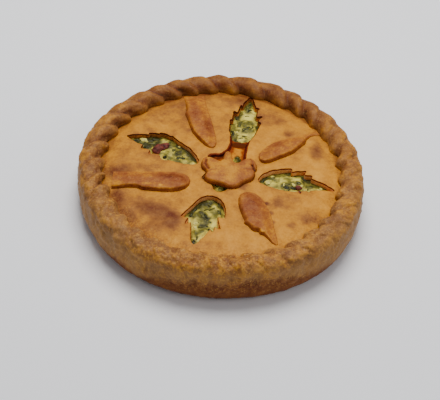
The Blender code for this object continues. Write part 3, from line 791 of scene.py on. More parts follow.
def crust_side(settings):
    """The base, side wall and rope in one closed surface of rows round the pie. Across a strand the rope
    swells from a groove to a crest that leans back, as the strand before tucks under it."""
    first, following, fullness, bite = strand_sizes()
    across = np.tile(np.arange(STEPS_PER_STRAND) / STEPS_PER_STRAND, STRANDS)
    along = np.repeat(first, STEPS_PER_STRAND) + across * np.repeat(following - first, STEPS_PER_STRAND)
    fullness = np.repeat(fullness, STEPS_PER_STRAND)
    # A groove's depth passes smoothly from one strand's to the next's
    bite = np.interp(np.arange(len(across)) / STEPS_PER_STRAND, np.arange(STRANDS), bite, period=STRANDS)

    # Rope rows, from its outer foot over the top and down its inner side
    section = np.radians(np.linspace(ROPE_STARTS, ROPE_ENDS, ROPE_ROWS))[:, None]
    degrees = np.degrees(section)
    inward = 0.5 - 0.5 * np.cos(np.clip(section, 0, math.pi))
    measured = 0.5 - 0.5 * math.cos(math.radians(MEASURED_SECTION))
    azimuth = along + 2 * math.pi / STRANDS * STRAND_SWEEP * (measured - inward)
    drift = points_of(ROPE_RADIUS * np.cos(azimuth), ROPE_RADIUS * np.sin(azimuth), ROPE_UPWARD * section)
    azimuth = azimuth + 0.011 * hills(drift, 11 * MM, 19)
    swell = (0.5 - 0.5 * np.cos(2 * math.pi * across**STRAND_LEAN)) ** (0.55 + 0.35 * inward) * fullness
    depth = np.interp(degrees, GROOVE_ANGLES, GROOVE_DEPTHS) * settings.groove_depth
    share = groove_share(azimuth)
    share = share + (1 - share) * 0.6 * ease(95, 150, degrees)
    valley = (1 - swell) * share * bite
    scale = 1 + depth * (0.25 * share - valley)
    half_width = np.where(section < math.pi / 2, ROPE_OUTWARD, ROPE_INWARD)
    rope_radius = ROPE_RADIUS + half_width * scale * np.cos(section)
    rope_height = ROPE_HEIGHT + ROPE_UPWARD * scale * np.sin(section)

    # Wall rows, from the foot up to the rope, whose grooves die away down the wall
    wall_height = ROPE_HEIGHT * np.linspace(0, 1, WALL_ROWS)[:, None] ** WALL_RISE
    rest = np.clip(1 - wall_height / BULGE_HEIGHT, 0, 1)
    waist = ROPE_RADIUS + ROPE_OUTWARD
    above = np.clip(wall_height - BULGE_TOP, 0, None) / (wall_height[-1, 0] - BULGE_TOP)
    drawn_in = (PIE_RADIUS - waist) * above**DRAWN_IN_CURVE
    wall_radius = PIE_RADIUS - (PIE_RADIUS - FOOT_RADIUS) * rest**WALL_CURVE - drawn_in
    wall_radius = wall_radius + (rope_radius[0] - waist) * ease(12 * MM, ROPE_HEIGHT, wall_height)
    wall_height = wall_height + np.zeros_like(wall_radius)

    radius = np.concatenate([wall_radius[:-1], rope_radius])
    height = np.concatenate([wall_height[:-1], rope_height])
    turn = np.concatenate([np.repeat(azimuth[:1], WALL_ROWS - 1, axis=0), azimuth])
    in_rope = np.concatenate([0.9 * ease(3 * MM, 24 * MM, wall_height[:-1]), 0.9 + 0 * azimuth])
    radius = radius * out_of_round(turn)

    # Relief: crusty lumps, coarser and higher at the front, and fine upright streaks low on the wall
    points = points_of(radius * np.cos(turn), radius * np.sin(turn), height)
    front = 1 - at_back(turn)
    lumps = hills(points, 7.5 * MM, 21) * (0.3 + 0.75 * front)
    crust = crags(points, 3.0 * MM, 3, 25) * (0.2 + 0.7 * front)
    creases = (1 - np.abs(hills(points, 6.5 * MM, 27))) ** 7 * (0.1 + 0.5 * front)
    streaks = hills(points * (1, 1, 0.12), 2.4 * MM, 28) * ease(16 * MM, 3 * MM, height) * 0.2
    dents = hills(points, 26 * MM, 29) * 0.35
    relief = (lumps + crust - creases) * (0.3 + 0.7 * in_rope) + streaks + dents * (1 - 0.5 * in_rope)
    outward = np.concatenate([np.ones((WALL_ROWS - 1, 1)), np.cos(section)])
    upward = np.concatenate([np.zeros((WALL_ROWS - 1, 1)), np.sin(section)])
    radius = radius + relief * MM * outward * ease(0, 3 * MM, height)
    height = height + relief * MM * upward
    raised = (crust + 0.6 * lumps) * in_rope

    # Base rows under the foot and rows down the hidden inner wall
    inner = np.array(INNER_WALL) * MM
    base_radius = np.array(BASE_SHARES)[::-1, None] * radius[:1]
    radius = np.concatenate([base_radius, radius, inner[:, :1] + 0 * azimuth[-1:]])
    height = np.concatenate([0 * base_radius, height, inner[:, 1:] + 0 * azimuth[-1:]])
    under = np.repeat(turn[:1], len(BASE_SHARES), axis=0)
    inside = np.repeat(turn[-1:], len(inner), axis=0)
    turn = np.concatenate([under, turn, inside])
    points = points_of(radius * np.cos(turn), radius * np.sin(turn), height)
    piece = closed_tube("crust_side", points, [[0, 0, 0], [0, 0, inner[-1, 1]]], "egg_washed_shortcrust")

    # The wall is painted darker near the foot, up to an uneven height that is greatest at the front
    back = at_back(turn)
    streaked = points * (1, 1, 0.2)
    uneven = (5 * hills(streaked, 16 * MM, 47) + 2.5 * hills(streaked, 3.5 * MM, 48)) * MM
    foot_top = np.interp(np.degrees(turn), FOOT_AZIMUTHS, FOOT_TOPS, period=360) * MM
    foot = ease(5 * MM, -4 * MM, height - foot_top + 0.4 * uneven)
    skin = WALL_TONE + 0.015 * ease(18 * MM, ROPE_HEIGHT, height) + 0.31 * foot
    # The rope has browned more on top and at the back. It is darker again in the grooves and in a band along
    # its inner side, partly browning and partly painted shade in the hollows and along the crease with the
    # lid
    rope = slice(len(BASE_SHARES) + WALL_ROWS - 1, len(BASE_SHARES) + WALL_ROWS - 1 + ROPE_ROWS)
    burnt_and_shaded = ease(88, 125, degrees) * (1 - 0.7 * ease(150, 190, degrees))
    hollow = np.clip(valley * 1.25, 0, 1) ** 1.5 * burnt_and_shaded
    tone = np.repeat(np.random.default_rng(STRAND_SEED).uniform(-0.05, 0.05, STRANDS), STEPS_PER_STRAND)
    on_top = np.sin(np.clip(section, 0, math.pi)) * (0.06 + 0.05 * back[rope] ** 1.5 + tone)
    inner_band = burnt_and_shaded * groove_share(turn[rope]) * (0.07 + 0.30 * hollow)
    crease = 0.20 * np.clip(valley, 0, 1) ** 3 * ease(15, 60, degrees)
    skin[rope] = ROPE_TONE + on_top + inner_band + crease
    # Crusty lumps are painted paler than the dents between them: painted highlight on the raised lumps,
    # painted shade in the dents
    skin[len(BASE_SHARES) : len(BASE_SHARES) + len(raised)] -= 0.16 * raised
    stretched = points * (1, 1, 0.14)
    patches = hills(points, 14 * MM, 41) * 0.07 + hills(points, 5 * MM, 43) * 0.09
    patches *= (0.5 + 0.5 * ease(8 * MM, 30 * MM, height)) * (1 - 0.5 * foot)
    skin += patches + hills(stretched, 2.6 * MM, 45) * 0.10 * ease(33 * MM, 22 * MM, height)
    skin = np.where(skin > DARKEST_TONE, DARKEST_TONE + 0.5 * (skin - DARKEST_TONE), skin)
    skin = np.where(skin < PALEST_TONE, PALEST_TONE + 0.4 * (skin - PALEST_TONE), skin)
    paint(piece, "browning_and_shading", skin, 0.5, 0.5)
    paint(piece, "coarse", (0.22 + 0.5 * (1 - back)) * ease(2 * MM, 22 * MM, height), 0.2, 0.2)
    # Wall and rope are painted a duller, greyer tone, least at the back and at the foot: partly their own
    # duller skin, partly painted shade where they face away from the light
    middle = ease(0.75, 1.0, -np.sin(turn))
    patchy = 0.14 * (hills(stretched, 3.4 * MM, 49) + hills(points, 9 * MM, 50))
    dulling_and_shade = (0.74 - 0.16 * middle + patchy) * (1 - 0.9 * foot)
    on_rope = 0.66 - 0.2 * middle[rope] - 0.25 * ease(0, 90, degrees) + patchy[rope]
    dulling_and_shade[rope] = on_rope * (1 - 0.8 * back[rope]) + 0.12 * ease(130, 165, degrees)
    paint(piece, "dull_tone_and_shade", np.clip(dulling_and_shade, 0, 1), 0.5, 0.5)
    settle(piece, "baked_pastry", "pastry_crust")


def even_outline(x, y, spacing):
    """A closed outline with its points spread evenly."""
    x, y = np.append(x, x[0]), np.append(y, y[0])
    run = np.concatenate([[0], np.cumsum(np.hypot(np.diff(x), np.diff(y)))])
    stations = np.linspace(0, run[-1], int(run[-1] / spacing), endpoint=False)
    return np.interp(stations, run, x), np.interp(stations, run, y)


def blurred(way, reach):
    """One coordinate of a closed outline, averaged over reach neighbours to each side."""
    return sum(np.roll(way, shift) for shift in range(-reach, reach + 1)) / (2 * reach + 1)


def opening_cutter(name, outline, seed, flared, floor=None):
    """A closed cutter for one opening. Its wall flares at the lid's skin, where the edge has scorched, and
    stands nearly upright in the crumb below. A floor closes it at that depth, otherwise it passes through."""
    x, y = even_outline(*np.array(outline).T * MM, CUT_SPACING)
    x, y = (blurred(way, 1 if floor is None else 4) for way in (x, y))
    tangent = np.stack([np.roll(x, -3) - np.roll(x, 3), np.roll(y, -3) - np.roll(y, 3)])
    tangent /= np.hypot(*tangent)
    turning = np.sum(x * np.roll(y, -1) - y * np.roll(x, -1))
    normal = np.stack([tangent[1], -tangent[0]]) * np.sign(turning)
    points = points_of(x, y)
    wobble = 0.28 * MM * hills(points, 3.0 * MM, seed) + 0.12 * MM * hills(points, 1.1 * MM, seed + 1)
    surface = lid_surface(x, y)
    # Outward flare, height over the lid's skin, and what the wall below this ring is made of
    wall = [(0.75, 6.0, SCORCHED_FACE), (0.7, 0.3, SCORCHED_FACE), (0.4, -0.25, SCORCHED_FACE)]
    if floor is None:
        below_skin = pairs(0.1, -0.9, 0.0, -2.0, -0.1, -3.4, 0.0, -9.0)
        wall += [(flare, rise, CRUMB_FACE) for flare, rise in below_skin]
    else:
        wall += [(0.1, -1.0, SCORCHED_FACE), (-0.1, 0.6 - floor / MM, SCORCHED_FACE)]
        wall += [(-1.0, -floor / MM, SUNKEN_FACE)]
    rings = []
    kinds = []
    count = len(x)
    for flare, rise, kind in wall:
        flare *= flared if rise > -0.9 else 1
        ragged = hills(points_of(x, y, rise * MM), 2.2 * MM, seed + 2) * 0.16 * MM * (rise < 0)
        out = flare * MM + wobble + ragged
        rings.append(points_of(x + normal[0] * out, y + normal[1] * out, surface + rise * MM))
        kinds.append(np.full(count, kind))
    middle = np.array([x.mean(), y.mean()])
    last = rings[-1]
    for share in (0.7, 0.4) if floor is None else np.linspace(0.93, 0.07, 13):
        ring = last.copy()
        ring[:, :2] = middle + (last[:, :2] - middle) * share
        if floor is not None:
            bumps = hills(points_of(ring[:, 0], ring[:, 1]), 4 * MM, seed + 5) * 0.25 * MM
            dent = HOLLOW_DEPTH * strip_hollow(ring[:, 0], ring[:, 1])
            ring[:, 2] = lid_profile(np.hypot(ring[:, 0], ring[:, 1])) - floor + bumps - dent
        rings.append(ring)
        kinds.append(np.full(count, SUNKEN_FACE))
    points = np.concatenate([*rings, [[*middle, last[:, 2].mean()], [*middle, rings[0][:, 2].mean()]]])
    faces = [
        band_faces(len(rings), count),
        fan_faces((len(rings) - 1) * count, count, len(points) - 2),
        fan_faces(0, count, len(points) - 1, flipped=True),
    ]
    kinds = np.concatenate([*kinds[:-1], np.full(count, SUNKEN_FACE), np.full(count, PASTRY_FACE)])
    return turn_outwards(make_piece(name, points, faces, LID_FINISHES, kinds))


def cut_openings(blank, cutters):
    """Cuts all openings out of the lid at once, and removes the cutters."""
    group = bpy.data.collections.new("openings")
    bpy.context.scene.collection.children.link(group)
    for cutter in cutters:
        group.objects.link(cutter)
    cut = blank.modifiers.new("openings", "BOOLEAN")
    cut.operation = "DIFFERENCE"
    cut.operand_type = "COLLECTION"
    cut.collection = group
    cut.solver = "MANIFOLD"
    bpy.context.view_layer.update()
    graph = bpy.context.evaluated_depsgraph_get()
    result = bpy.data.meshes.new_from_object(blank.evaluated_get(graph))
    blank.modifiers.clear()
    blank.data = result
    for cutter in cutters:
        bpy.data.objects.remove(cutter, do_unlink=True)
    bpy.data.collections.remove(group)


def crust_lid():
    """The lid with its openings cut, browned by place, with painted shade in the crease under the rope and
    round the laid pieces.
    """
    underside = [(LID_EDGE * share, lid_profile(LID_EDGE * share) - LID_THICKNESS) for share in LID_RINGS]
    blank = disc_body("crust_lid", LID_CELLS, LID_EDGE, lid_surface, underside, LID_FINISHES)
    cutters = []
    for number, (side, outline) in enumerate(WINDOW_OUTLINES.items()):
        flared = BACK_FLARE if side == "top" else 1
        cutters.append(opening_cutter(f"cut_{side}", outline, 50 + 10 * number, flared))
    cutters.append(opening_cutter("cut_strip", STRIP_OUTLINE, 105, STRIP_FLARE, STRIP_DEPTH))
    cut_openings(blank, cutters)
    blank.data.shade_smooth()
    blank.data.set_sharp_from_angle(angle=math.radians(LID_SHARP_ANGLE))
    points = read_points(blank)
    x, y = points[:, 0], points[:, 1]
    radius = np.hypot(x, y)
    back = at_back(np.arctan2(y, x))
    skin = LID_TONE + 0.06 * hills(points, 24 * MM, 61) + 0.055 * crags(points, 10 * MM, 3, 62)
    skin += 0.08 * ease(20 * MM, 95 * MM, y) - 0.02 * np.clip(x / (60 * MM), -1, 1)
    skin += blotches(x, y, LID_BLOTCHES) * (1.1 + 0.45 * hills(points, 6 * MM, 63))
    # Painted shade on the lid in the crease under the rope, strongest at the back
    skin += ease(89.5 * MM, 93.5 * MM, radius) * (0.04 + 0.14 * back**1.3)
    skin += 0.10 * np.exp(-np.clip(outside_openings(x, y), 0, None) / (1.1 * MM))
    # Painted contact shade on the lid along both edges of each laid leaf and round the star
    for standing, sunk in LAID_LEAVES:
        skin += 0.06 * np.exp(-off_line(standing, x, y) / (1.4 * MM))
        skin += 0.05 * np.exp(-off_line(sunk, x, y) / (1.2 * MM))
    skin += 0.10 * np.exp(-np.abs(outside(STAR_OUTLINE, x, y)) / (1.2 * MM))
    paint(blank, "browning_and_shading", skin)
    # The cut walls are painted a little darker with depth, as painted shade. The left window's walls have
    # scorched all through, and those of the back window in their upper part
    depth = lid_profile(radius) - points[:, 2]
    at_left = ease(-28 * MM, -46 * MM, x) * ease(8 * MM, 20 * MM, y)
    scorch_and_shade = 0.04 * ease(1.8 * MM, 4.2 * MM, depth) + 0.34 * at_left
    behind = ease(34 * MM, 40 * MM, y) * (np.abs(x - 12 * MM) < 26 * MM)
    scorch_and_shade += 0.40 * ease(4.6 * MM, 2 * MM, depth) * behind
    # So have the strip's edges and its arm to the left. The hollow in which it ends behind is painted
    # darkest, partly scorch and partly painted shade
    in_strip = outside(STRIP_OUTLINE, x, y)
    strip = 0.34 * ease(-5 * MM, -1.5 * MM, in_strip) - 0.14 + 0.24 * ease(4 * MM, -1 * MM, x)
    strip += 1.4 * strip_hollow(x, y)
    paint(blank, "scorch_and_shade", scorch_and_shade + strip * (in_strip < 0.5 * MM))
    paint(blank, "coarse", 0.10 + 0.35 * ease(80 * MM, 93 * MM, radius) * (1 - back))
    settle(blank, "baked_pastry", "pastry_crust")


# Filling


def filling_top(x, y):
    """Height of the filling: under the lid's underside, and lumpy and a little higher inside the openings."""
    points = points_of(x, y)
    inside = ease(-1 * MM, 4 * MM, -outside_openings(x, y))
    under_star = STAR_RISE * ease(0, -3 * MM, outside(WINDOW_OUTLINES["star"], x, y))
    lumps = 0.8 * hills(points, 8.5 * MM, 71) + 0.75 * hills(points, 4.2 * MM, 72)
    rise = (FILLING_RISE + lumps + 0.22 * hills(points, 1.9 * MM, 73) + under_star) * MM
    return lid_profile(np.hypot(x, y)) - LID_THICKNESS - FILLING_GAP + inside * rise


def filling_core():
    """The filling as one closed body with a fine top, and walls as the hollow's."""
    rings = [(reach * MM, height * MM) for reach, height in (*FILLING_PROFILE[-2::-1], *FILLING_BASE)]
    radius = FILLING_PROFILE[-1][0] * MM
    core = disc_body("filling_cream", FILLING_CELLS, radius, filling_top, rings, ["spinach_cream"])
    x, y = read_points(core)[:, :2].T
    # The sauce is greener round each piece of spinach, and painted darker in front of the openings' back
    # walls as painted shade
    table = np.array([*DARK_SPINACH_AND_SHADE, *GREY_SPINACH])
    spots = np.column_stack([table * (1, 1, 0.7, 1.12, 1), np.full(len(table), 0.13)])
    behind = outside_openings(x, y + 3.5 * MM)
    shaded = 0.05 + 0.09 * ease(0, -15 * MM, x) + 0.10 * ease(20 * MM, 40 * MM, x)
    paint(core, "greens_and_shade", blotches(x, y, spots) + shaded * ease(-2.5 * MM, 1 * MM, behind))
    settle(core, "creamed_filling", "filling")


def places_in_openings(draw, count, margin):
    """Random places inside the openings of the lid, at least margin from their edges, as many in each square
    millimetre everywhere."""
    tries = draw.uniform(-90 * MM, 90 * MM, (count * 60, 2))
    inside = outside_openings(tries[:, 0], tries[:, 1]) < -margin
    sunken = outside(STRIP_OUTLINE, tries[:, 0], tries[:, 1]) < 0
    away = outside(WINDOW_OUTLINES["star"], tries[:, 0], tries[:, 1]) > 0
    return tries[inside & ~(sunken & away)][:count]


def laid_out(x, y, along, aside, turn):
    """Places in plan that lie along and aside of a place in millimetres, turned about it."""
    cosine, sine = np.cos(turn), np.sin(turn)
    return x * MM + along * cosine - aside * sine, y * MM + along * sine + aside * cosine


def wilted_leaves(name, draw, rows, finish):
    """Wilted leaves in one mesh, from rows of x, y, length, width and turn. Each is a closed thin sheet on a
    grid that tapers to both ends, bends along its length, is crumpled by noise and dips into the sauce at its
    rim."""
    along_steps, aside_steps = SHEET_STEPS
    count = len(rows)
    place_x, place_y, length, width, turn = np.array(rows, dtype=float).T[:, :, None, None]
    u = np.linspace(-1, 1, along_steps)[:, None]
    v = np.linspace(-1, 1, aside_steps)
    half_length, half_width = length * MM / 2, width * MM / 2
    taper = np.sqrt(np.clip(1 - np.abs(u) ** 2.2, 0.03, 1))
    bend = draw.normal(0, 0.25, (count, 1, 1))
    aside = v * half_width * taper + bend * half_length * u**2
    x, y = laid_out(place_x, place_y, u * half_length + 0 * v, aside, np.radians(turn))
    crumple = crags(points_of(x, y, 0.1 * np.arange(count)[:, None, None]), 2.6 * MM, 2, 75)
    rim = np.maximum(np.abs(u) ** 3, np.abs(v) ** 3)
    top = points_of(x, y, filling_top(x, y) + (0.45 + 0.55 * crumple - 1.1 * rim) * MM).reshape(count, -1, 3)
    points = np.concatenate([top, top - (0, 0, LEAF_SHEET)], 1)
    single = along_steps * aside_steps
    sheet = band_faces(along_steps, aside_steps, closed=False)
    edge = border_of_grid(along_steps, aside_steps)
    after = np.roll(edge, -1)
    sides = np.stack([edge, edge + single, after + single, after], -1)
    pattern = np.concatenate([sheet, sheet[:, ::-1] + single, sides])
    piece = make_piece(name, points.reshape(-1, 3), [repeated(pattern, count, 2 * single)], [finish])
    settle(turn_outwards(piece), "creamed_filling")


def cooked_chunks(name, draw, rows, finish, lift):
    """Small rough chunks in one mesh, from rows of x, y and size. Each is a closed ball of rows and columns,
    squashed, knocked out of round by noise and sunk into the filling."""
    bands, columns = CHUNK_STEPS
    count = len(rows)
    place_x, place_y, size = np.array(rows, dtype=float).T[:, :, None, None]
    polar = np.linspace(0, math.pi, bands + 2)[1:-1, None]
    azimuth = np.arange(columns) / columns * 2 * math.pi
    radius = size * MM / 2
    unit = points_of(np.sin(polar) * np.cos(azimuth), np.sin(polar) * np.sin(azimuth), np.cos(polar))
    knock = 1 + 0.34 * crags(unit + 3.7 * np.arange(count)[:, None, None, None], 0.8, 2, 77)
    long = draw.uniform(1.0, 1.4, (count, 1, 1))
    flat = draw.uniform(0.4, 0.6, (count, 1, 1))
    turn = draw.uniform(0, 2 * math.pi, (count, 1, 1))
    along, aside = radius * long * unit[..., 0] * knock, radius * unit[..., 1] * knock
    x, y = laid_out(place_x, place_y, along, aside, turn)
    level = filling_top(place_x * MM, place_y * MM) + lift
    balls = points_of(x, y, level + radius * flat * unit[..., 2] * knock).reshape(count, -1, 3)
    ends = [points_of(place_x * MM, place_y * MM, level + side * radius * flat)[:, 0] for side in (1, -1)]
    points = np.concatenate([balls, *ends], 1)
    faces = [repeated(block, count, bands * columns + 2) for block in tube_faces(bands, columns)]
    piece = make_piece(name, points.reshape(-1, 3), faces, [finish])
    settle(turn_outwards(piece), "creamed_filling")


# Laid pastry


def laid_leaf(number, edges):
    """A pastry leaf baked onto the lid. Each section runs straight from a place on one edge to the like place
    on the other and back underneath. It rises from both edges as quarter circles, and slopes to the edge that
    has sunk."""
    share = (0.5 - 0.5 * np.cos(np.linspace(0.06, math.pi, LEAF_ROWS)))[:, None]
    there = 0.5 - 0.5 * np.cos(np.linspace(0, math.pi, LEAF_OVER))
    across = np.concatenate([there, np.linspace(1, 0, LEAF_UNDER + 2)[1:-1]])
    on_top = np.arange(LEAF_OVER + LEAF_UNDER) < LEAF_OVER
    ends = []
    for edge in edges:
        ex, ey = np.array(edge).T * MM
        run = np.concatenate([[0], np.cumsum(np.hypot(np.diff(ex), np.diff(ey)))])
        ends.append((np.interp(share * run[-1], run, ex), np.interp(share * run[-1], run, ey)))
    (sx, sy), (fx, fy) = ends
    x, y = sx + (fx - sx) * across, sy + (fy - sy) * across
    noise = points_of(x, y, 0.01 * number)
    chips = 0.35 * hills(noise, 2.6 * MM, 81) * MM * ease(0, 0.2, share)
    standing, sunk = (off_line(edge, x, y) for edge in edges)
    # Where the edge is faint it rises over a wider band
    tone = np.interp(share, (0, 0.5, 1), EDGE_TONES[number - 1])
    band = (1.9 + 3.0 * (1 - np.clip(tone, 0, 1))) * MM
    slope = 0.3 + 0.7 * ease(0, 9 * MM, sunk)
    body = rounded(standing + chips * ease(0, 1 * MM, standing), band) * rounded(sunk, LEAF_ROUNDING) * slope
    end = 1 - LEAF_ENDS[number - 1] * ease(0.72, 1.0, share)
    relief = (0.3 * hills(noise, 6 * MM, 83) + 0.2 * crags(noise, 2.4 * MM, 2, 84)) * MM
    rise = LEAF_THICKNESS * body * end + relief * ease(0.3, 0.8, body)
    points = points_of(x, y, lid_surface(x, y) + np.where(on_top, rise, -LEAF_DEPTH))
    tips = [points[0].mean(0), points[-1].mean(0)]
    piece = turn_outwards(closed_tube(f"pastry_leaf_{number}_baked", points, tips, "browned_shortcrust"))
    # The standing edge is painted with a dark line two thirds up, partly browning and partly painted shade,
    # under a paler lip that is a painted highlight, and darker at its foot as painted shade where it meets
    # the lid
    climb = rounded(standing, band)
    core = 0.14 * np.exp(-(((climb - 0.66) / 0.1) ** 2)) - 0.09 * np.exp(-(((climb - 0.9) / 0.06) ** 2))
    edge_browning_and_shade = (core + 0.07 * (1 - ease(0.8, 1.0, climb))) * tone
    faint = 0.12 * (1 - ease(0.3, 1, rounded(sunk, 1.0 * MM)))
    skin = LEAF_TONE + 0.05 * ease(0, 5 * MM, np.minimum(standing, sunk)) + edge_browning_and_shade + faint
    skin += 0.07 * hills(noise, 9 * MM, 87) + 0.04 * hills(noise, 3 * MM, 88)
    skin += 0.75 * blotches(x, y, LEAF_BLOTCHES)
    paint(piece, "browning_and_shading", skin, 0.6, 0.5)
    paint(piece, "coarse", np.full(skin.shape, 0.25), 0.2, 0.2)
    settle(piece, "browned_pastry", f"pastry_leaf_{number}")


def laid_star():
    """The puffed star over the star window: rings from its middle out over the rim and back underneath. Its
    height is a quarter circle of the distance from its outline."""
    azimuth = np.arange(STAR_COLUMNS) / STAR_COLUMNS * 2 * math.pi
    outline = even_outline(*np.array(STAR_OUTLINE).T * MM, STAR_SPACING)
    ox, oy = (blurred(way, 3) - middle for way, middle in zip(outline, STAR_CENTRE))
    # The outline runs clockwise, and azimuths the other way
    turns = np.unwrap(np.arctan2(oy, ox))[::-1] + 2 * math.pi
    reach = np.interp(azimuth, turns, np.hypot(ox, oy)[::-1], period=2 * math.pi)
    spread = np.array(STAR_OVER + STAR_UNDER)[:, None]
    on_top = (np.arange(len(spread)) < len(STAR_OVER))[:, None]
    x = STAR_CENTRE[0] + reach * spread * np.cos(azimuth)
    y = STAR_CENTRE[1] + reach * spread * np.sin(azimuth)
    noise = points_of(x, y)
    inside = np.clip(-outside(STAR_OUTLINE, x, y), 0, None)
    climb = rounded(inside, STAR_ROUNDING)
    body = climb * (0.86 + 0.14 * ease(0, 9 * MM, inside))
    creases = sum(deep * np.exp(-((off_line(line, x, y) / CREASE_WIDTH) ** 2)) for deep, line in STAR_CREASES)
    relief = (0.35 * hills(noise, 7 * MM, 91) + 0.14 * crags(noise, 2.4 * MM, 2, 92)) * MM
    sink = 1.5 * MM * ease(6 * MM, 16 * MM, y) + 1.3 * MM * creases
    top = STAR_THICKNESS * body + (relief - sink) * ease(0.3, 0.8, body)
    z = lid_profile(np.hypot(x, y)) + STAR_GAP + np.where(on_top, top, 0)
    poles = [[*STAR_CENTRE, z[0].mean()], [*STAR_CENTRE, z[-1].mean()]]
    piece = turn_outwards(closed_tube("pastry_star_baked", points_of(x, y, z), poles, "browned_shortcrust"))
    # The star's edge is painted darker, most at the front, as painted shade under its rim, and its creases
    # darker, partly browning and partly painted shade
    wall = (1 - ease(0.4, 1.0, climb)) * (0.6 + 0.4 * ease(4 * MM, -10 * MM, y))
    skin = STAR_TONE + 0.08 * ease(7 * MM, 2 * MM, inside) + 0.14 * wall + 0.34 * creases
    skin += 0.08 * hills(noise, 8 * MM, 94)
    skin += blotches(x, y, LEAF_BLOTCHES)
    paint(piece, "browning_and_shading", skin, 0.4, 0.6)
    paint(piece, "coarse", np.full(skin.shape, 0.2), 0.1, 0.1)
    settle(piece, "browned_pastry", "pastry_star")


# Settings


class PieCrustSettings(bpy.types.PropertyGroup):
    """Pastry colours and the depth of the rope's grooves."""

    pale: FloatVectorProperty(
        name="Pale pastry",
        description="Pastry that has hardly browned",
        subtype="COLOR",
        default=linear("#d9952a")[:3],
    )
    golden: FloatVectorProperty(
        name="Golden pastry", description="Most of the lid", subtype="COLOR", default=linear("#bc7a16")[:3]
    )
    dark: FloatVectorProperty(
        name="Dark pastry",
        description="Grooves and contact lines",
        subtype="COLOR",
        default=linear("#5a2208")[:3],
    )
    # The duller, greyer tone of wall and rope, partly painted shade
    dull_tone_and_shade: FloatVectorProperty(
        name="Floured pastry",
        description="Duller skin of the wall and rope",
        subtype="COLOR",
        default=linear("#926c42")[:3],
    )
    groove_depth: FloatProperty(
        name="Groove depth", description="1 keeps the rope's own grooves", default=1.0, min=0, max=1.5
    )


class PieFillingSettings(bpy.types.PropertyGroup):
    """Colours and amounts of the filling."""

    cream: FloatVectorProperty(
        name="Cream", description="Clean sauce", subtype="COLOR", default=linear("#b3a240")[:3]
    )
    # Also the colour of the painted shade on the sauce in front of the openings' back walls
    stained_and_shaded: FloatVectorProperty(
        name="Stained cream",
        description="Sauce that spinach has bled into",
        subtype="COLOR",
        default=linear("#3e3a18")[:3],
    )
    shreds: IntProperty(
        name="Spinach shreds",
        description="Small ones besides the larger leaves",
        default=34,
        min=10,
        max=1200,
    )
    seed: IntProperty(name="Seed", description="Another seed lays the shreds another way", default=5)


class PieStageSettings(bpy.types.PropertyGroup):
    """Floor, light and camera."""

    floor: FloatVectorProperty(
        name="Floor", description="Colour of the floor", subtype="COLOR", default=linear("#f8f8fa")[:3]
    )
    light: FloatProperty(
        name="Overhead light",
        description="Power of the large light",
        subtype="POWER",
        unit="POWER",
        default=19.5,
    )
    elevation: FloatProperty(
        name="Camera elevation",
        description="Angle over the floor",
        subtype="ANGLE",
        default=math.radians(44.8),
    )
    roll: FloatProperty(
        name="Camera roll",
        description="Turn about the line of sight",
        subtype="ANGLE",
        default=math.radians(3.93),
    )
    distance: FloatProperty(
        name="Camera distance",
        description="From the middle of the base",
        subtype="DISTANCE",
        unit="LENGTH",
        default=0.912,
    )
    lens: FloatProperty(
        name="Lens", description="Focal length for a 36 mm sensor", subtype="DISTANCE_CAMERA", default=91.98
    )


# Operators


class PIE_OT_pastry_finishes(bpy.types.Operator):
    """Makes the materials of crust and filling"""

    bl_idname = "pie.finishes"
    bl_label = "Finishes"

    def execute(self, context):
        crust = context.scene.pie_crust
        baked_pastry("egg_washed_shortcrust", crust, CRUST_BROWNS)
        baked_pastry("browned_shortcrust", crust, LEAF_BROWNS)
        cut_pastry("scorched_edge", "#5c1a0c", "#8a3a1a", 0.55, 0.1)
        # The crumb of the cut walls is painted much lighter than its own colour, as painted light on walls
        # that stand in shade
        cut_pastry("moist_crumb_painted_lighter", "#e08a40", "#ffbc74", 0.5, 0.08)
        cut_pastry("sunken_glaze", "#8a3a06", "#c87e12", 0.6, 0.05)
        cream_filling(context.scene.pie_filling)
        cooked_bits("wilted_spinach_and_shade", "#20210f", "#434220", 2 * MM, 0.4)
        cooked_bits("grey_spinach", "#38381a", "#6c662c", 2 * MM, 0.4)
        cooked_bits("dark_chicken", "#3a1410", "#7a3c2e", 3 * MM, 0.6)
        cooked_bits("pale_chicken", "#a9983c", "#ddd06a", 3 * MM, 0.4)
        return {"FINISHED"}


class PIE_OT_crust_side(bpy.types.Operator):
    """Builds the base, the side wall and the rope rim"""

    bl_idname = "pie.crust_side"
    bl_label = "Side and rope"

    def execute(self, context):
        crust_side(context.scene.pie_crust)
        return {"FINISHED"}


class PIE_OT_crust_lid(bpy.types.Operator):
    """Builds the lid and cuts its openings"""

    bl_idname = "pie.crust_lid"
    bl_label = "Lid"

    def execute(self, context):
        crust_lid()
        return {"FINISHED"}


class PIE_OT_filling(bpy.types.Operator):
    """Fills the pie with spinach cream"""

    bl_idname = "pie.filling"
    bl_label = "Cream"

    def execute(self, context):
        filling_core()
        return {"FINISHED"}


class PIE_OT_spinach(bpy.types.Operator):
    """Lays wilted spinach in the openings"""

    bl_idname = "pie.spinach"
    bl_label = "Spinach"

    def execute(self, context):
        settings = context.scene.pie_filling
        draw = np.random.default_rng(settings.seed)
        for name, table, finish in (
            ("spinach_dark_and_shade", DARK_SPINACH_AND_SHADE, "wilted_spinach_and_shade"),
            ("spinach_grey", GREY_SPINACH, "grey_spinach"),
        ):
            places = places_in_openings(draw, settings.shreds // 2, SHRED_MARGIN) / MM
            sizes = draw.uniform(LEAST_SHRED, LARGEST_SHRED, (len(places), 3))
            wilted_leaves(name, draw, [*table, *np.column_stack([places, sizes])], finish)
        return {"FINISHED"}


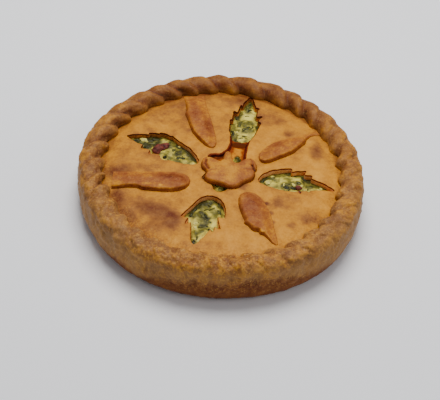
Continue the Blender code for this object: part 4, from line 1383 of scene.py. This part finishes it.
class PIE_OT_chicken(bpy.types.Operator):
    """Lays pieces of chicken in the openings"""

    bl_idname = "pie.chicken"
    bl_label = "Chicken"

    def execute(self, context):
        draw = np.random.default_rng(context.scene.pie_filling.seed + 1)
        cooked_chunks("chicken_dark", draw, DARK_CHICKEN, "dark_chicken", DARK_LIFT)
        places = places_in_openings(draw, PALE_COUNT, PALE_MARGIN) / MM
        rows = np.column_stack([places, draw.uniform(*PALE_SIZES, len(places))])
        cooked_chunks("chicken_pale", draw, rows, "pale_chicken", PALE_LIFT)
        return {"FINISHED"}


class PIE_OT_pastry_leaves(bpy.types.Operator):
    """Lays the four pastry leaves on the lid"""

    bl_idname = "pie.pastry_leaves"
    bl_label = "Pastry leaves"

    def execute(self, context):
        for number, edges in enumerate(LAID_LEAVES, 1):
            laid_leaf(number, edges)
        return {"FINISHED"}


class PIE_OT_pastry_star(bpy.types.Operator):
    """Lays the puffed star over the star window"""

    bl_idname = "pie.pastry_star"
    bl_label = "Pastry star"

    def execute(self, context):
        laid_star()
        return {"FINISHED"}


def axes_and_place(right, up, back, place):
    """The matrix of an object from the directions of its own axes and its place."""
    columns = np.eye(4)
    columns[:3] = np.stack([right, up, back, place], 1)
    return Matrix(columns.tolist())


def aimed(place, target):
    """A matrix that stands at a place and looks along its own -Z at a target."""
    back = np.subtract(place, target)
    back /= np.linalg.norm(back)
    right = np.cross((0, 0, 1), back)
    right /= np.linalg.norm(right)
    return axes_and_place(right, np.cross(back, right), back, place)


class PIE_OT_stage(bpy.types.Operator):
    """Sets up the floor, the soft studio light and the camera"""

    bl_idname = "pie.stage"
    bl_label = "Stage"

    def execute(self, context):
        settings = context.scene.pie_stage
        mesh = bpy.data.meshes.new("floor")
        corners = [(FLOOR_REACH * x, FLOOR_REACH * y, 0) for x, y in ((-1, -1), (1, -1), (1, 1), (-1, 1))]
        mesh.from_pydata(corners, [], [(0, 1, 2, 3)])
        tree, shader = new_material("matt_paper", Roughness=0.9)
        set_sockets(tree, shader, {"Base Color": (*settings.floor, 1.0)})
        mesh.materials.append(bpy.data.materials["matt_paper"])
        floor = bpy.data.objects.new("floor", mesh)
        context.scene.collection.objects.link(floor)

        world = bpy.data.worlds.new("studio")
        world.use_nodes = True
        sky = world.node_tree.nodes["Background"]
        set_sockets(world.node_tree, sky, {"Color": linear("#f4f6fb"), "Strength": SKY_STRENGTH})
        context.scene.world = world
        for name, place, size, share in LAMPS:
            lamp = bpy.data.lights.new(name, "AREA")
            lamp.shape = "DISK"
            lamp.size = size
            lamp.energy = settings.light * share
            lit = bpy.data.objects.new(name, lamp)
            lit.matrix_world = aimed(place, LAMPS_AIM)
            context.scene.collection.objects.link(lit)

        camera_data = bpy.data.cameras.new("camera")
        camera_data.sensor_width = SENSOR_WIDTH
        camera_data.lens = settings.lens
        camera_data.shift_y = CAMERA_SHIFT / IMAGE_WIDTH
        camera = bpy.data.objects.new("camera", camera_data)
        lift, turn = settings.elevation, settings.roll
        level = np.array([[1, 0, 0], [0, math.sin(lift), math.cos(lift)]])
        right = math.cos(turn) * level[0] + math.sin(turn) * level[1]
        up = -math.sin(turn) * level[0] + math.cos(turn) * level[1]
        back = np.array([0, -math.cos(lift), math.sin(lift)])
        place = np.array([AXIS_X, AXIS_Y, 0]) + settings.distance * back
        camera.matrix_world = axes_and_place(right, up, back, place)
        context.scene.collection.objects.link(camera)
        context.scene.camera = camera
        return {"FINISHED"}


class PIE_PT_pieces(bpy.types.Panel):
    """Lists the pie's pieces and settings in the sidebar"""

    bl_label = "Savoury pie"
    bl_idname = "PIE_PT_pieces"
    bl_space_type = "VIEW_3D"
    bl_region_type = "UI"
    bl_category = "Savoury pie"

    def draw(self, context):
        for step in STEPS:
            self.layout.operator(step.bl_idname)
        for group in ("pie_crust", "pie_filling", "pie_stage"):
            settings = getattr(context.scene, group)
            box = self.layout.box()
            for name in settings.__annotations__:
                box.prop(settings, name)


STEPS = (
    PIE_OT_stage,
    PIE_OT_pastry_finishes,
    PIE_OT_crust_side,
    PIE_OT_crust_lid,
    PIE_OT_filling,
    PIE_OT_spinach,
    PIE_OT_chicken,
    PIE_OT_pastry_leaves,
    PIE_OT_pastry_star,
)
GROUPS = {"pie_crust": PieCrustSettings, "pie_filling": PieFillingSettings, "pie_stage": PieStageSettings}


def register():
    for group in GROUPS.values():
        bpy.utils.register_class(group)
    for name, group in GROUPS.items():
        setattr(bpy.types.Scene, name, PointerProperty(type=group))
    for step in STEPS:
        bpy.utils.register_class(step)
    bpy.utils.register_class(PIE_PT_pieces)


def unregister():
    bpy.utils.unregister_class(PIE_PT_pieces)
    for step in reversed(STEPS):
        bpy.utils.unregister_class(step)
    for name, group in GROUPS.items():
        delattr(bpy.types.Scene, name)
        bpy.utils.unregister_class(group)


def main():
    register()
    bpy.ops.pie.stage()
    bpy.ops.pie.finishes()
    bpy.ops.pie.crust_side()
    bpy.ops.pie.crust_lid()
    bpy.ops.pie.filling()
    bpy.ops.pie.spinach()
    bpy.ops.pie.chicken()
    bpy.ops.pie.pastry_leaves()
    bpy.ops.pie.pastry_star()


if __name__ == "__main__":
    main()
